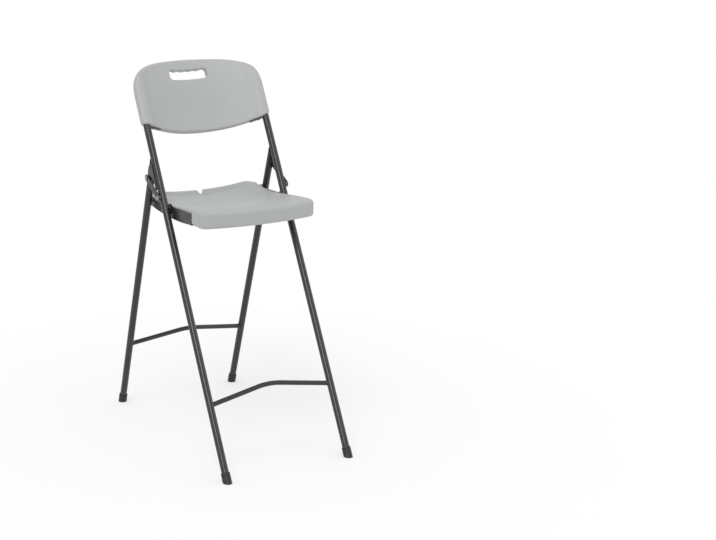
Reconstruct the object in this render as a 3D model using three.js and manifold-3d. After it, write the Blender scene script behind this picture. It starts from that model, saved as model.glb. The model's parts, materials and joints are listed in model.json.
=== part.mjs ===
// Folding bar stool: two leaning rails that carry a blow-moulded backrest, a pair of rear
// legs, and a blow-moulded seat that hangs between them in two steel side channels.
// Millimetres, +Z up. The sitter faces -Y, so "left" is +X. The origin is on the floor, in
// the middle of the stool's footprint. Every piece is one closed solid in its own mesh.
//
// The frame folds as a four-bar linkage on each side: rail, seat, rear leg and link.
// The seat turns on the rail, the link joins rail to leg, and the seat's rear stud
// carries the leg. The seat's front swings up and the legs close up behind the rails.

import * as THREE from 'three';
import { mergeVertices } from 'three/addons/utils/BufferGeometryUtils.js';
import Module from 'manifold-3d';

const wasm = await Module();
wasm.setup();

// Driving dimensions: the frame
const SEAT_WIDTH = 386;           // over the front lip; the frame is drawn to suit it
const SEAT_TO_TUBE = 2;           // between the front lip and the tubes
const SEAT_HEIGHT = 760;          // of the front corners; the frame is drawn to suit it
const CROSSING_RISE = 118.44;     // rails and legs cross this far above SEAT_HEIGHT
const RAIL_LEAN = 28.44;          // degrees back from upright
const LEG_LEAN = 17.93;           // degrees forward from upright
const TUBE_DIAMETER = 22;
const TUBE_WALL = 1.5;
const FIT = 0.3;                  // clearance wherever two pieces meet
const CUT_OVERRUN = 30;           // how far a cutting tool runs past what it cuts
const ROUND_SEGMENTS = 10;        // half the sides of a tube
const FITTING_SEGMENTS = 12;      // sides of a rivet, washer or plug
const SCREW_SEGMENTS = 8;

// Driving dimensions: the linkage, as heights on the rail and on the leg
const SEAT_PIVOT_DROP = 34;       // of the seat's pivot on the rail, below SEAT_HEIGHT
const LINK_RAIL_RISE = 39;        // of the link's pivot on the rail, above the seat's
const LINK_LEG_RISE = 86;         // of the link's pivot on the leg, above the seat's
const FOLDED_SPACING = 26;        // rail axis to leg axis when the stool is folded
const LINK_WIDTH = 20;
const LINK_THICKNESS = 3;

// Driving dimensions: foot bars
const FOOT_BAR_DIAMETER = 13;
const FOOT_BAR_WALL = 1.5;
const FRONT_BAR_HEIGHT = 200.6;   // of the bar's ends
const REAR_BAR_HEIGHT = 221.5;
const FRONT_BAR_RISE = 36;        // of the bar's middle above its ends, in the frame's plane
const REAR_BAR_RISE = 32;
const FOOT_BAR_BEND = 230;        // radius of the bend in the middle

// Driving dimensions: feet and plugs
const CAP_RADIUS = 13.6;
const CAP_HEIGHT = 30;
const CAP_FLOOR = 4;              // least thickness under the tube
const PLUG_HEAD = 3;
const PLUG_DEPTH = 14;
const LEG_TOP_SETBACK = 33;       // leg's end below the point where its axis meets the rail's

// Driving dimensions: backrest
const BACK_OVERHANG = 16;         // of the panel's sides beyond the rails' axes
const BACK_RISE = 503.4;          // top edge's middle above the seat's pivot, along the rail
const BACK_HEIGHT = 243.3;        // in the middle
const BACK_BOTTOM_RISE = 6.4;     // of the lower corners above the middle of the lower edge
const BACK_TOP_DROP = 17.8;       // of the shoulders below the middle of the upper edge
const BACK_CORNER = 118.7;        // how far the upper corners reach along both edges
const BACK_LOWER_CORNER = 10;
const BACK_SAG = 67.7;            // depth of the curve, rails to middle
const BACK_SAG_POWER = 1.25;      // flattens the curve towards the rails
const BACK_SETBACK = 2;           // of the panel's sides behind the rails' axes
const BACK_THICKNESS = 20;
const BACK_RAIL_THICKNESS = 31;   // where the panel takes the rails
const BACK_WALL = 3;
const RAIL_INSERT = 125;          // length of rail inside the backrest
const SLOT_WIDTH = 128;
const SLOT_HEIGHT = 33;
const SLOT_CORNER = 15;
const SLOT_BELOW_TOP = 52;        // slot's centre line below the top edge
const SLOT_FINGERS = 4;
const SLOT_FINGER_DEPTH = 2.6;
const VENT_RADIUS = 3;            // moulding vent, behind the backrest and under the seat
const BRACKET_LENGTH = 49;        // of the tab under the backrest, from the rail's axis
const BRACKET_DEPTH = 12;
const BRACKET_THICKNESS = 3;
const BRACKET_CURVE_SHARE = 0.6;  // of the panel's own curve that the tab follows
const BRACKET_SCREW_REACH = 24;   // from the rail's axis

// Driving dimensions: seat
const SEAT_LIP_OVERHANG = 4;      // of the front lip's ends beyond the sides
const SEAT_AHEAD = 233.2;         // front edge's middle ahead of the seat's pivot on the rail
const SEAT_BEHIND = 70.5;         // rear edge behind the seat's pivot on the leg
const SEAT_FRONT_BOW = 14;        // of the front edge's middle ahead of its ends
const SEAT_LIP_DROP = 9.3;        // of the front lip below the underside
const SEAT_LIP_DEPTH = 88;        // front edge to the start of the side channels
const SEAT_SIDE_DIP = 18;         // lowest point of the side edges below the front corners
const SEAT_REAR_RISE = 12;        // of the rear corners above that point
const SEAT_REAR_DROP = 18;        // middle of the rear rim below its corners
const SEAT_RIM_WIDTH = 11;        // of the rear rim, from the rear edge
const SEAT_RIM_FOOT = 25;         // where the rim rises out of the dish, from the rear edge
const SEAT_DISH = 20;
const SEAT_FRONT_CORNER = 32;
const SEAT_REAR_CORNER = 48;
const SEAT_EDGE = 11;             // rounding of the upper edge
const SEAT_UNDER_EDGE = 5;        // rounding of the lower edge
const SEAT_WALL = 3.5;
const SEAT_SIDE_WALL = 10;
const NOTCH_WIDTH = 32;
const NOTCH_DEPTH = 20;
const NOTCH_TIP = 3;              // radius at the bottom of the notch

// Driving dimensions: seat frame
const CHANNEL_THICKNESS = 2;
const CHANNEL_GAP = 1.5;          // between web and shell
const CHANNEL_FLOOR_DROP = 49;    // underside of the flange below SEAT_HEIGHT
const CHANNEL_TOP_DROP = 14;      // web's upper edge at the front, below SEAT_HEIGHT
const CHANNEL_TOP_FALL = 9;       // of that edge, front to rear
const CHANNEL_FRONT_DROP = 48;    // web's lower edge below SEAT_HEIGHT, at the front
const CHANNEL_REAR_DROP = 44;     // and at the rear
const CHANNEL_BELLY = 9;          // how far that edge hangs below a line between its ends
const CHANNEL_BEHIND = 8.5;       // rear end behind the seat's pivot on the leg
const CHANNEL_FLANGE = 18;
const FLANGE_SETBACK = 34;        // flange's end ahead of the web's
const CHANNEL_CORNER = 7;
const SEAT_PIVOT_EAR = 22;        // radius of the channel's ear at the rail
const LEG_PIVOT_EAR = 11;
const FRONT_BRACE_SETBACK = 37;   // cross braces under the seat, from the channels' ends
const REAR_BRACE_SETBACK = 50;
const SEAT_BRACE_WIDTH = 28;
const SEAT_BRACE_DEPTH = 9;
const SEAT_BRACE_WALL = 1.5;
const SEAT_BRACE_END = 20;        // length of the flat ends under the flanges

// Driving dimensions: gusset plates, rivets and screws
const GUSSET_THICKNESS = 2.5;
const GUSSET_HALF_WIDTH = 9;
const GUSSET_SETBACK = 1.2;       // of its front edge behind the rail's axis
const GUSSET_TOP_DROP = 20;       // of its top below the crossing, along the rail
const GUSSET_RAIL_GAP = 21;       // to the link's washer on the rail
const GUSSET_LEG_GAP = 3.8;       // to the link's washer on the leg
const RIVET_SHANK = 3.7;
const RIVET_HEAD = 6.8;
const RIVET_DOME = 2.7;
const RIVET_TAIL = 4.6;
const RIVET_TAIL_LENGTH = 4;
const WASHER_RADIUS = 8;
const STUD_HEAD = 7;
const STUD_HEAD_HEIGHT = 2.6;
const SCREW_SHANK = 2;
const SCREW_HEAD = 4.6;
const SCREW_HEAD_HEIGHT = 2;
const SCREW_HOLE = 16;            // depth of a screw's hole in plastic
const SCREW_BITE = 2.4;           // how far a screw reaches into what it holds
const RAIL_SCREW_DROP = 150;      // backrest screws at the rails, below the top edge

// Worked out from the driving dimensions
const tubeRadius = TUBE_DIAMETER / 2;
const boreRadius = tubeRadius - TUBE_WALL;
const barRadius = FOOT_BAR_DIAMETER / 2;
const halfSpacing = SEAT_WIDTH / 2 + SEAT_TO_TUBE + tubeRadius;
const railAngle = THREE.MathUtils.degToRad(RAIL_LEAN);
const legAngle = THREE.MathUtils.degToRad(LEG_LEAN);
const crossingHeight = SEAT_HEIGHT + CROSSING_RISE;
const footSpan = crossingHeight * (Math.tan(railAngle) + Math.tan(legAngle));
const seatPivotHeight = SEAT_HEIGHT - SEAT_PIVOT_DROP;
const linkRailHeight = seatPivotHeight + LINK_RAIL_RISE;
const linkLegHeight = seatPivotHeight + LINK_LEG_RISE;
const footprintFront = -CAP_RADIUS / Math.cos(railAngle);
const footprintRear = footSpan + CAP_RADIUS / Math.cos(legAngle);
const footprintMiddle = (footprintFront + footprintRear) / 2;
const sides = { left: 1, right: -1 };

const steel = new THREE.MeshStandardMaterial({ color: 0x3f4143, roughness: 0.38, metalness: 0.55 });
const plate = new THREE.MeshStandardMaterial({ color: 0x4a4c4e, roughness: 0.42, metalness: 0.6 });
const zinc = new THREE.MeshStandardMaterial({ color: 0x6a6c6e, roughness: 0.35, metalness: 0.85 });
const plastic = new THREE.MeshStandardMaterial({ color: 0xb4b7b6, roughness: 0.6, metalness: 0 });
const black = new THREE.MeshStandardMaterial({ color: 0x161617, roughness: 0.7, metalness: 0 });

// A closed three.js geometry as a solid that can be joined and cut
function solidOf(geometry) {
  const bare = geometry.index ? geometry.toNonIndexed() : geometry.clone();
  bare.deleteAttribute('normal');
  bare.deleteAttribute('uv');
  const merged = mergeVertices(bare, 1e-4);
  return new wasm.Manifold(new wasm.Mesh({
    numProp: 3,
    vertProperties: new Float32Array(merged.attributes.position.array),
    triVerts: new Uint32Array(merged.index.array),
  }));
}

function geometryOf(solid) {
  const mesh = solid.getMesh();
  const geometry = new THREE.BufferGeometry();
  geometry.setAttribute('position', new THREE.BufferAttribute(mesh.vertProperties, 3));
  geometry.setIndex(new THREE.BufferAttribute(mesh.triVerts, 1));
  geometry.computeVertexNormals();
  return geometry;
}

function cut(geometry, ...tools) {
  return geometryOf(tools.reduce((solid, tool) => solid.subtract(solidOf(tool)), solidOf(geometry)));
}

function join(...geometries) {
  return geometryOf(geometries.slice(1).reduce((solid, g) => solid.add(solidOf(g)), solidOf(geometries[0])));
}

// The same shape on the other side of the stool, with its faces still pointing out
function mirrored(geometry, side) {
  if (side > 0) return geometry;
  const flat = geometry.index ? geometry.toNonIndexed() : geometry;
  const source = flat.attributes.position;
  const points = [];
  for (let i = 0; i < source.count; i += 3) {
    for (const k of [i, i + 2, i + 1]) points.push(-source.getX(k), source.getY(k), source.getZ(k));
  }
  const other = new THREE.BufferGeometry();
  other.setAttribute('position', new THREE.Float32BufferAttribute(points, 3));
  return mergeVertices(other, 1e-4);
}

function ring(outer, inner) {
  const shape = new THREE.Shape().absarc(0, 0, outer, 0, 2 * Math.PI);
  if (inner > 0) shape.holes.push(new THREE.Path().absarc(0, 0, inner, 0, 2 * Math.PI, true));
  return shape;
}

// A straight tube along +Z
function tube(outer, inner, from, to) {
  const geometry = new THREE.ExtrudeGeometry(ring(outer, inner), {
    depth: to - from, bevelEnabled: false, curveSegments: ROUND_SEGMENTS,
  });
  return geometry.translate(0, 0, from);
}

// A solid round bar along X, through (y, z)
function crossPin(radius, fromX, toX, y, z) {
  const geometry = new THREE.CylinderGeometry(radius, radius, Math.abs(toX - fromX), 2 * ROUND_SEGMENTS);
  return geometry.rotateZ(Math.PI / 2).translate((fromX + toX) / 2, y, z);
}

// A flat shape drawn in the (y, z) plane, standing on edge between two values of x
function sidePlate(shape, fromX, toX, segments = ROUND_SEGMENTS) {
  const geometry = new THREE.ExtrudeGeometry(shape, {
    depth: toX - fromX, bevelEnabled: false, curveSegments: segments,
  });
  const turn = new THREE.Matrix4().makeBasis(
    new THREE.Vector3(0, 1, 0), new THREE.Vector3(0, 0, 1), new THREE.Vector3(1, 0, 0));
  return geometry.applyMatrix4(turn).translate(fromX, 0, 0);
}

// A turned piece about the X axis: profile points are [x, radius], from inboard to outboard
function turnedAboutX(profile, y, z) {
  const points = profile.map(([x, radius]) => new THREE.Vector2(radius, x));
  return new THREE.LatheGeometry(points, FITTING_SEGMENTS).rotateZ(-Math.PI / 2).translate(0, y, z);
}

function box(fromX, toX, fromY, toY, fromZ, toZ) {
  const geometry = new THREE.BoxGeometry(toX - fromX, toY - fromY, toZ - fromZ);
  return geometry.translate((fromX + toX) / 2, (fromY + toY) / 2, (fromZ + toZ) / 2);
}

function named(name, geometry, material) {
  const mesh = new THREE.Mesh(geometry, material);
  mesh.name = name;
  return mesh;
}

// Points of the side view are [y, z], with y behind the front foot axis
const onRail = (height) => new THREE.Vector2(height * Math.tan(railAngle), height);
const onLeg = (height) => new THREE.Vector2(footSpan - height * Math.tan(legAngle), height);

// The linkage. Three pivots are driving dimensions. The fourth, where the seat carries the
// leg, is where its distance from the seat's pivot is the same open and folded.
function linkage() {
  const seatPivot = onRail(seatPivotHeight);
  const linkRail = onRail(linkRailHeight);
  const linkLeg = onLeg(linkLegHeight);
  const reach = linkLeg.distanceTo(linkRail);
  const up = new THREE.Vector2(Math.sin(railAngle), Math.cos(railAngle));
  const back = new THREE.Vector2(Math.cos(railAngle), -Math.sin(railAngle));
  const drop = Math.sqrt(reach ** 2 - FOLDED_SPACING ** 2);
  const foldedLeg = linkRail.clone().addScaledVector(up, -drop).addScaledVector(back, FOLDED_SPACING);
  const legTurn = -(railAngle + legAngle);
  const unfolded = seatPivot.clone().sub(foldedLeg).rotateAround(new THREE.Vector2(), -legTurn).add(linkLeg);
  const middle = seatPivot.clone().add(unfolded).multiplyScalar(0.5);
  const across = unfolded.clone().sub(seatPivot);
  const foot = onLeg(0);
  const legDirection = onLeg(1).sub(foot);
  const along = middle.clone().sub(foot).dot(across) / legDirection.dot(across);
  const legPivot = foot.addScaledVector(legDirection, along);
  const foldedPivot = legPivot.clone().sub(linkLeg).rotateAround(new THREE.Vector2(), legTurn).add(foldedLeg);
  const heading = (to, from) => Math.atan2(to.y - from.y, to.x - from.x);
  const turn = (to, from) => {
    const angle = THREE.MathUtils.radToDeg(to - from);
    return angle > 0 ? angle - 360 : angle;
  };
  return {
    seatPivot, linkRail, linkLeg, legPivot,
    seatTurn: turn(heading(foldedPivot, seatPivot), heading(legPivot, seatPivot)),
    linkTurn: turn(heading(foldedLeg, linkRail), heading(linkLeg, linkRail)),
    legTurn: THREE.MathUtils.radToDeg(legTurn),
  };
}
const pivots = linkage();

// Distances along a leaning tube, from the point where its axis meets the floor
const alongRail = (height) => height / Math.cos(railAngle);
const alongLeg = (height) => height / Math.cos(legAngle);

// Layers outboard of a tube: plate or washer, then link, then rivet head
const layerOne = halfSpacing + tubeRadius + FIT;
const layerTwo = layerOne + GUSSET_THICKNESS + FIT;
const layerThree = layerTwo + LINK_THICKNESS + FIT;

// A blind rivet set from outboard through link, washer and the tube's outer wall
function linkRivet(y, z) {
  const tailTop = halfSpacing + Math.sqrt(boreRadius ** 2 - RIVET_TAIL ** 2) - FIT;
  return turnedAboutX([
    [tailTop - RIVET_TAIL_LENGTH, 0],
    [tailTop - RIVET_TAIL_LENGTH, RIVET_TAIL * 0.7],
    [tailTop - RIVET_TAIL_LENGTH * 0.6, RIVET_TAIL],
    [tailTop, RIVET_TAIL],
    [tailTop, RIVET_SHANK],
    [layerThree, RIVET_SHANK],
    [layerThree, RIVET_HEAD],
    [layerThree + RIVET_DOME * 0.45, RIVET_HEAD * 0.92],
    [layerThree + RIVET_DOME * 0.85, RIVET_HEAD * 0.55],
    [layerThree + RIVET_DOME, 0],
  ], y, z);
}

function linkWasher(y, z) {
  const hole = RIVET_SHANK + FIT;
  const outer = layerOne + GUSSET_THICKNESS;
  return turnedAboutX([
    [layerOne, hole], [layerOne, WASHER_RADIUS], [outer, WASHER_RADIUS], [outer, hole], [layerOne, hole],
  ], y, z);
}

// A plastic foot cap on the tube's end, cut level where it stands on the floor
function footCap(angle, side) {
  const lean = Math.abs(angle);
  const floorAt = (CAP_FLOOR + (tubeRadius + FIT) * Math.sin(lean)) / Math.cos(lean);
  const lowest = -CAP_RADIUS * Math.tan(lean) - CAP_FLOOR;
  const bore = tubeRadius + FIT;
  const taper = CAP_FLOOR / 2;
  const cup = new THREE.LatheGeometry([
    [0, lowest], [CAP_RADIUS, lowest], [CAP_RADIUS, CAP_HEIGHT - taper], [CAP_RADIUS - taper / 2, CAP_HEIGHT],
    [bore, CAP_HEIGHT], [bore, floorAt], [0, floorAt],
  ].map(([radius, z]) => new THREE.Vector2(radius, z)), 2 * ROUND_SEGMENTS).rotateX(Math.PI / 2);
  const reach = CAP_RADIUS + CUT_OVERRUN;
  const floor = box(-reach, reach, -reach, reach, -reach, 0).rotateX(angle);
  return { geometry: cut(cup, floor).translate(side * halfSpacing, 0, 0), tubeStart: floorAt + FIT };
}

// A foot bar: two straight halves that rise to a round bend, coped to the tubes at its ends
function footBar(along, rise) {
  const angle = Math.atan2(rise, halfSpacing);
  const bendHalf = FOOT_BAR_BEND * Math.sin(angle);
  const top = along + rise - FOOT_BAR_BEND * (1 / Math.cos(angle) - 1);
  const path = new THREE.CurvePath();
  const bendStart = new THREE.Vector3(-bendHalf, 0, top - FOOT_BAR_BEND * (1 - Math.cos(angle)));
  const bendEnd = bendStart.clone().setX(bendHalf);
  const points = [new THREE.Vector3(-halfSpacing, 0, along)];
  const steps = 6;
  for (let i = 0; i <= steps; i += 1) {
    const a = angle * (2 * i / steps - 1);
    points.push(new THREE.Vector3(FOOT_BAR_BEND * Math.sin(a), 0, top - FOOT_BAR_BEND * (1 - Math.cos(a))));
  }
  points.push(new THREE.Vector3(halfSpacing, 0, along));
  path.add(new THREE.LineCurve3(points[0], bendStart));
  for (let i = 1; i < points.length - 2; i += 1) path.add(new THREE.LineCurve3(points[i], points[i + 1]));
  path.add(new THREE.LineCurve3(bendEnd, points[points.length - 1]));
  const sections = points.map((point, i) => {
    const before = points[Math.max(i - 1, 0)];
    const after = points[Math.min(i + 1, points.length - 1)];
    return { point, direction: after.clone().sub(before).normalize() };
  });
  const bar = sweptTube(sections, barRadius, barRadius - FOOT_BAR_WALL);
  const reach = rise + CUT_OVERRUN;
  const cope = (side) => tube(tubeRadius + FIT, 0, along - reach, along + reach).translate(side * halfSpacing, 0, 0);
  return cut(bar, cope(1), cope(-1));
}

// A round tube swept in the (x, z) plane through square sections
function sweptTube(sections, outer, inner) {
  const count = ROUND_SEGMENTS;
  const positions = [];
  const across = new THREE.Vector3(0, 1, 0);
  for (const { point, direction } of sections) {
    const normal = new THREE.Vector3().crossVectors(direction, across);
    for (const radius of [outer, inner]) {
      for (let k = 0; k < count; k += 1) {
        const a = 2 * Math.PI * k / count;
        const p = point.clone().addScaledVector(across, radius * Math.cos(a)).addScaledVector(normal, radius * Math.sin(a));
        positions.push(p.x, p.y, p.z);
      }
    }
  }
  const index = [];
  const quad = (a, b, c, d) => index.push(a, b, c, a, c, d);
  const last = sections.length - 1;
  const outerAt = (s, k) => s * 2 * count + k % count;
  const innerAt = (s, k) => outerAt(s, k) + count;
  for (let k = 0; k < count; k += 1) {
    for (let s = 0; s < last; s += 1) {
      quad(outerAt(s, k), outerAt(s, k + 1), outerAt(s + 1, k + 1), outerAt(s + 1, k));
      quad(innerAt(s, k), innerAt(s + 1, k), innerAt(s + 1, k + 1), innerAt(s, k + 1));
    }
    quad(outerAt(0, k), innerAt(0, k), innerAt(0, k + 1), outerAt(0, k + 1));
    quad(outerAt(last, k), outerAt(last, k + 1), innerAt(last, k + 1), innerAt(last, k));
  }
  const geometry = new THREE.BufferGeometry();
  geometry.setAttribute('position', new THREE.Float32BufferAttribute(positions, 3));
  geometry.setIndex(index);
  return geometry;
}

// Shares of a rounded edge's width at which its rings lie, from face to rim
const UPPER_ROUND = [0.7, 0.35, 0.1];
const LOWER_ROUND = [0.6, 0.15];
const ROUND_LIMIT = 0.9;          // largest rounding, as a share of half the panel's thickness

// A padded panel: rings run from the middle of the upper face over the rounded edges to the
// middle of the lower face. outline(t) is the plan shape, and upper and lower give heights.
function paddedPanel(panel) {
  const { outline, count, centre, edge, upper, lower, faceShares, underShares, rounded = true } = panel;
  const underEdge = panel.underEdge ?? edge;
  const rim = [];
  for (let k = 0; k < count; k += 1) rim.push(outline(k / count));
  const insetPoint = (p, distance) => {
    const spoke = p.clone().sub(centre);
    return spoke.multiplyScalar(Math.max(1 - distance / spoke.length(), 0)).add(centre);
  };
  const shrunk = (p, inset, share) => insetPoint(p, inset).sub(centre).multiplyScalar(share).add(centre);
  const rise = (share) => 1 - Math.sqrt(1 - (1 - share) ** 2);
  const high = (p, drop) => {
    const limit = ROUND_LIMIT * (upper(p) - lower(p)) / 2;
    return upper(p) - drop * Math.min(edge, limit);
  };
  const low = (p, drop) => {
    const limit = ROUND_LIMIT * (upper(p) - lower(p)) / 2;
    return lower(p) + drop * Math.min(underEdge, limit);
  };
  const rings = [];
  const addRing = (place, height, drop) => rings.push(rim.map((p) => {
    const q = place(p);
    return [q.x, q.y, height(q, drop)];
  }));
  for (const share of faceShares) addRing((p) => shrunk(p, edge, share), high, 0);
  for (const share of rounded ? UPPER_ROUND : []) addRing((p) => insetPoint(p, edge * share), high, rise(share));
  addRing((p) => p, high, 1);
  addRing((p) => p, low, 1);
  for (const share of rounded ? [...LOWER_ROUND].reverse() : []) {
    addRing((p) => insetPoint(p, underEdge * share), low, rise(share));
  }
  for (const share of [...underShares].reverse()) addRing((p) => shrunk(p, underEdge, share), low, 0);
  const positions = [centre.x, centre.y, upper(centre)];
  for (const loop of rings) for (const place of loop) positions.push(...place);
  positions.push(centre.x, centre.y, lower(centre));
  const at = (r, k) => 1 + r * count + k % count;
  const end = 1 + rings.length * count;
  const index = [];
  for (let k = 0; k < count; k += 1) {
    index.push(0, at(0, k), at(0, k + 1));
    for (let r = 0; r < rings.length - 1; r += 1) {
      index.push(at(r, k), at(r + 1, k), at(r + 1, k + 1), at(r, k), at(r + 1, k + 1), at(r, k + 1));
    }
    index.push(end, at(rings.length - 1, k + 1), at(rings.length - 1, k));
  }
  const geometry = new THREE.BufferGeometry();
  geometry.setAttribute('position', new THREE.Float32BufferAttribute(positions, 3));
  geometry.setIndex(index);
  return geometry;
}

// A plan outline made of straight or bowed edges and round corners, run anticlockwise
function outlineOf(shape, count) {
  const points = shape.getSpacedPoints(count).slice(0, count);
  return (share) => points[Math.round(share * count) % count].clone();
}

const smooth = (value, from, to) => THREE.MathUtils.smoothstep(value, from, to);

// Backrest, drawn in the rails' plane: x across, second number along the rail
const LOWER_CORNER_SHARE = 0.4;
const LOWER_KNEE_SHARE = 0.6;
const UPPER_KNEE_SHARE = 0.3;
const SHOULDER_SIDE_SHARE = 0.35;
const SHOULDER_TOP_SHARE = 0.08;
const backHalf = halfSpacing + BACK_OVERHANG;
const backTop = alongRail(seatPivotHeight) + BACK_RISE;
const backBottom = backTop - BACK_HEIGHT;
const bracketScrewX = halfSpacing - BRACKET_SCREW_REACH;
const railScrewAlong = backTop - RAIL_SCREW_DROP;
const railScrewSeat = tubeRadius + FIT + BACK_WALL / 2;
const railEnd = backBottom + BACK_BOTTOM_RISE + RAIL_INSERT;
const backCurve = (x) => {
  const share = Math.max(1 - (x / halfSpacing) ** 2, 0);
  return BACK_SETBACK + BACK_SAG * share ** BACK_SAG_POWER;
};
const backThickness = (x) => {
  const share = smooth(Math.abs(x), halfSpacing - 4 * tubeRadius, halfSpacing - tubeRadius);
  return BACK_THICKNESS + (BACK_RAIL_THICKNESS - BACK_THICKNESS) * share;
};

function backShape(inset) {
  const half = backHalf - inset;
  const top = backTop - inset;
  const bottom = backBottom + inset;
  const shoulder = top - BACK_TOP_DROP;
  const corner = BACK_CORNER - inset;
  const side = shoulder - corner * SHOULDER_SIDE_SHARE;
  const over = half - corner * SHOULDER_SIDE_SHARE;
  const rise = shoulder - corner * SHOULDER_TOP_SHARE;
  const lower = bottom + BACK_BOTTOM_RISE;
  const small = BACK_LOWER_CORNER;
  const knee = half * LOWER_KNEE_SHARE;
  const upperKnee = half * UPPER_KNEE_SHARE;
  const shape = new THREE.Shape();
  shape.moveTo(0, bottom);
  shape.quadraticCurveTo(knee, bottom, half - small, lower - small * LOWER_CORNER_SHARE);
  shape.quadraticCurveTo(half, lower, half, lower + small);
  shape.lineTo(half, shoulder - corner);
  shape.bezierCurveTo(half, side, over, rise, half - corner, shoulder);
  shape.quadraticCurveTo(upperKnee, top, 0, top);
  shape.quadraticCurveTo(-upperKnee, top, corner - half, shoulder);
  shape.bezierCurveTo(-over, rise, -half, side, -half, shoulder - corner);
  shape.lineTo(-half, lower + small);
  shape.quadraticCurveTo(-half, lower, small - half, lower - small * LOWER_CORNER_SHARE);
  shape.quadraticCurveTo(-knee, bottom, 0, bottom);
  return shape;
}

// The hand slot, with finger scallops along its upper edge, larger all round by grow
function slotShape(grow) {
  const half = SLOT_WIDTH / 2 + grow;
  const low = backTop - SLOT_BELOW_TOP - SLOT_HEIGHT / 2 - grow;
  const high = low + SLOT_HEIGHT + 2 * grow;
  const r = SLOT_CORNER;
  const shape = new THREE.Shape();
  shape.moveTo(r - half, low);
  shape.lineTo(half - r, low);
  shape.quadraticCurveTo(half, low, half, low + r);
  shape.lineTo(half, high - r);
  shape.quadraticCurveTo(half, high, half - r, high);
  const finger = 2 * (half - r) / SLOT_FINGERS;
  for (let i = 0; i < SLOT_FINGERS; i += 1) {
    const x = half - r - finger * (i + 1);
    shape.quadraticCurveTo(x + finger / 2, high - 2 * SLOT_FINGER_DEPTH, x, high);
  }
  shape.quadraticCurveTo(-half, high, -half, high - r);
  shape.lineTo(-half, low + r);
  shape.quadraticCurveTo(-half, low, r - half, low);
  return shape;
}

// Stands a panel or shape drawn in (x, along the rail) upright in the front frame: its
// height becomes the distance behind the rails' plane, measured towards the front
function stand(geometry) {
  return geometry.rotateX(Math.PI / 2);
}

function backrest() {
  const centre = new THREE.Vector2(0, (backTop + backBottom) / 2);
  const face = (p, share) => -backCurve(p.x) + share * backThickness(p.x) / 2;
  const outer = stand(paddedPanel({
    outline: outlineOf(backShape(0), 56), count: 56, centre, edge: BACK_THICKNESS / 2,
    upper: (p) => face(p, 1), lower: (p) => face(p, -1),
    faceShares: [0.4, 0.72, 0.93, 1], underShares: [0.34, 0.67, 1],
  }));
  const cavityInset = BACK_WALL + BACK_THICKNESS / 2;
  const solidSide = halfSpacing - tubeRadius - 2 * BACK_WALL;
  const cavity = solidOf(stand(paddedPanel({
    outline: outlineOf(backShape(cavityInset), 28), count: 28, centre, edge: BACK_WALL,
    upper: (p) => face(p, 1) - BACK_WALL, lower: (p) => face(p, -1) + BACK_WALL,
    faceShares: [0.5, 1], underShares: [0.5, 1], rounded: false,
  })));
  const depth = BACK_SAG + BACK_RAIL_THICKNESS + CUT_OVERRUN;
  const through = (shape) => stand(new THREE.ExtrudeGeometry(shape, {
    depth: 2 * depth, bevelEnabled: false, curveSegments: 4,
  }).translate(0, 0, -depth));
  const middle = solidOf(box(-solidSide, solidSide, -depth, depth, 0, backTop));
  const hollow = cavity.intersect(middle).subtract(solidOf(through(slotShape(BACK_WALL))));
  const sockets = Object.values(sides).map((side) => (
    tube(tubeRadius + FIT, 0, 0, railEnd + FIT).translate(side * halfSpacing, 0, 0)));
  const vent = crossHole(VENT_RADIUS, 0, centre.y, backCurve(0), depth);
  const screwHoles = Object.values(sides).flatMap((side) => [
    crossHole(SCREW_SHANK + FIT, side * halfSpacing, railScrewAlong, 0, depth),
    crossHole(SCREW_HEAD + FIT, side * halfSpacing, railScrewAlong, railScrewSeat, depth),
    tube(SCREW_SHANK + FIT, 0, backBottom - CUT_OVERRUN, backLowerEdge(bracketScrewX) + SCREW_HOLE)
      .translate(side * bracketScrewX, bracketCurve(bracketScrewX), 0),
  ]);
  let solid = solidOf(outer).subtract(hollow);
  for (const tool of [through(slotShape(0)), ...sockets, vent, ...screwHoles]) solid = solid.subtract(solidOf(tool));
  return geometryOf(solid);
}

// A round hole from the curved middle of the panel out through its back
function crossHole(radius, x, along, from, length) {
  return new THREE.CylinderGeometry(radius, radius, length, ROUND_SEGMENTS).translate(x, from + length / 2, along);
}

// Height of the panel's lower edge, along the rail
function backLowerEdge(x) {
  const end = BACK_BOTTOM_RISE - BACK_LOWER_CORNER * LOWER_CORNER_SHARE;
  const reach = backHalf - BACK_LOWER_CORNER;
  const knee = backHalf * LOWER_KNEE_SHARE;
  const bend = reach - 2 * knee;
  const share = (Math.sqrt(knee ** 2 + bend * Math.abs(x)) - knee) / bend;
  return backBottom + end * share ** 2;
}

const bracketCurve = (x) => backCurve(x) * BRACKET_CURVE_SHARE;

// Short steel tab from a rail to the panel, under the panel's lower edge
function backBracket() {
  const steps = 8;
  const place = (i) => halfSpacing - BRACKET_LENGTH * (1 - i / steps);
  const shape = new THREE.Shape();
  const upper = (x) => backLowerEdge(x) - FIT;
  shape.moveTo(place(0), upper(place(0)));
  for (let i = 1; i <= steps; i += 1) shape.lineTo(place(i), upper(place(i)));
  for (let i = steps; i >= 0; i -= 1) shape.lineTo(place(i), upper(place(i)) - BRACKET_THICKNESS);
  const tab = new THREE.ExtrudeGeometry(shape, { depth: BRACKET_DEPTH, bevelEnabled: false });
  stand(tab.translate(0, 0, -BRACKET_DEPTH / 2));
  const points = tab.attributes.position;
  for (let i = 0; i < points.count; i += 1) points.setY(i, points.getY(i) + bracketCurve(points.getX(i)));
  const rail = tube(tubeRadius + FIT, 0, 0, railEnd).translate(halfSpacing, 0, 0);
  const hole = tube(SCREW_SHANK + FIT, 0, backBottom - CUT_OVERRUN, backTop)
    .translate(bracketScrewX, bracketCurve(bracketScrewX), 0);
  return cut(tab, rail, hole);
}

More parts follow.
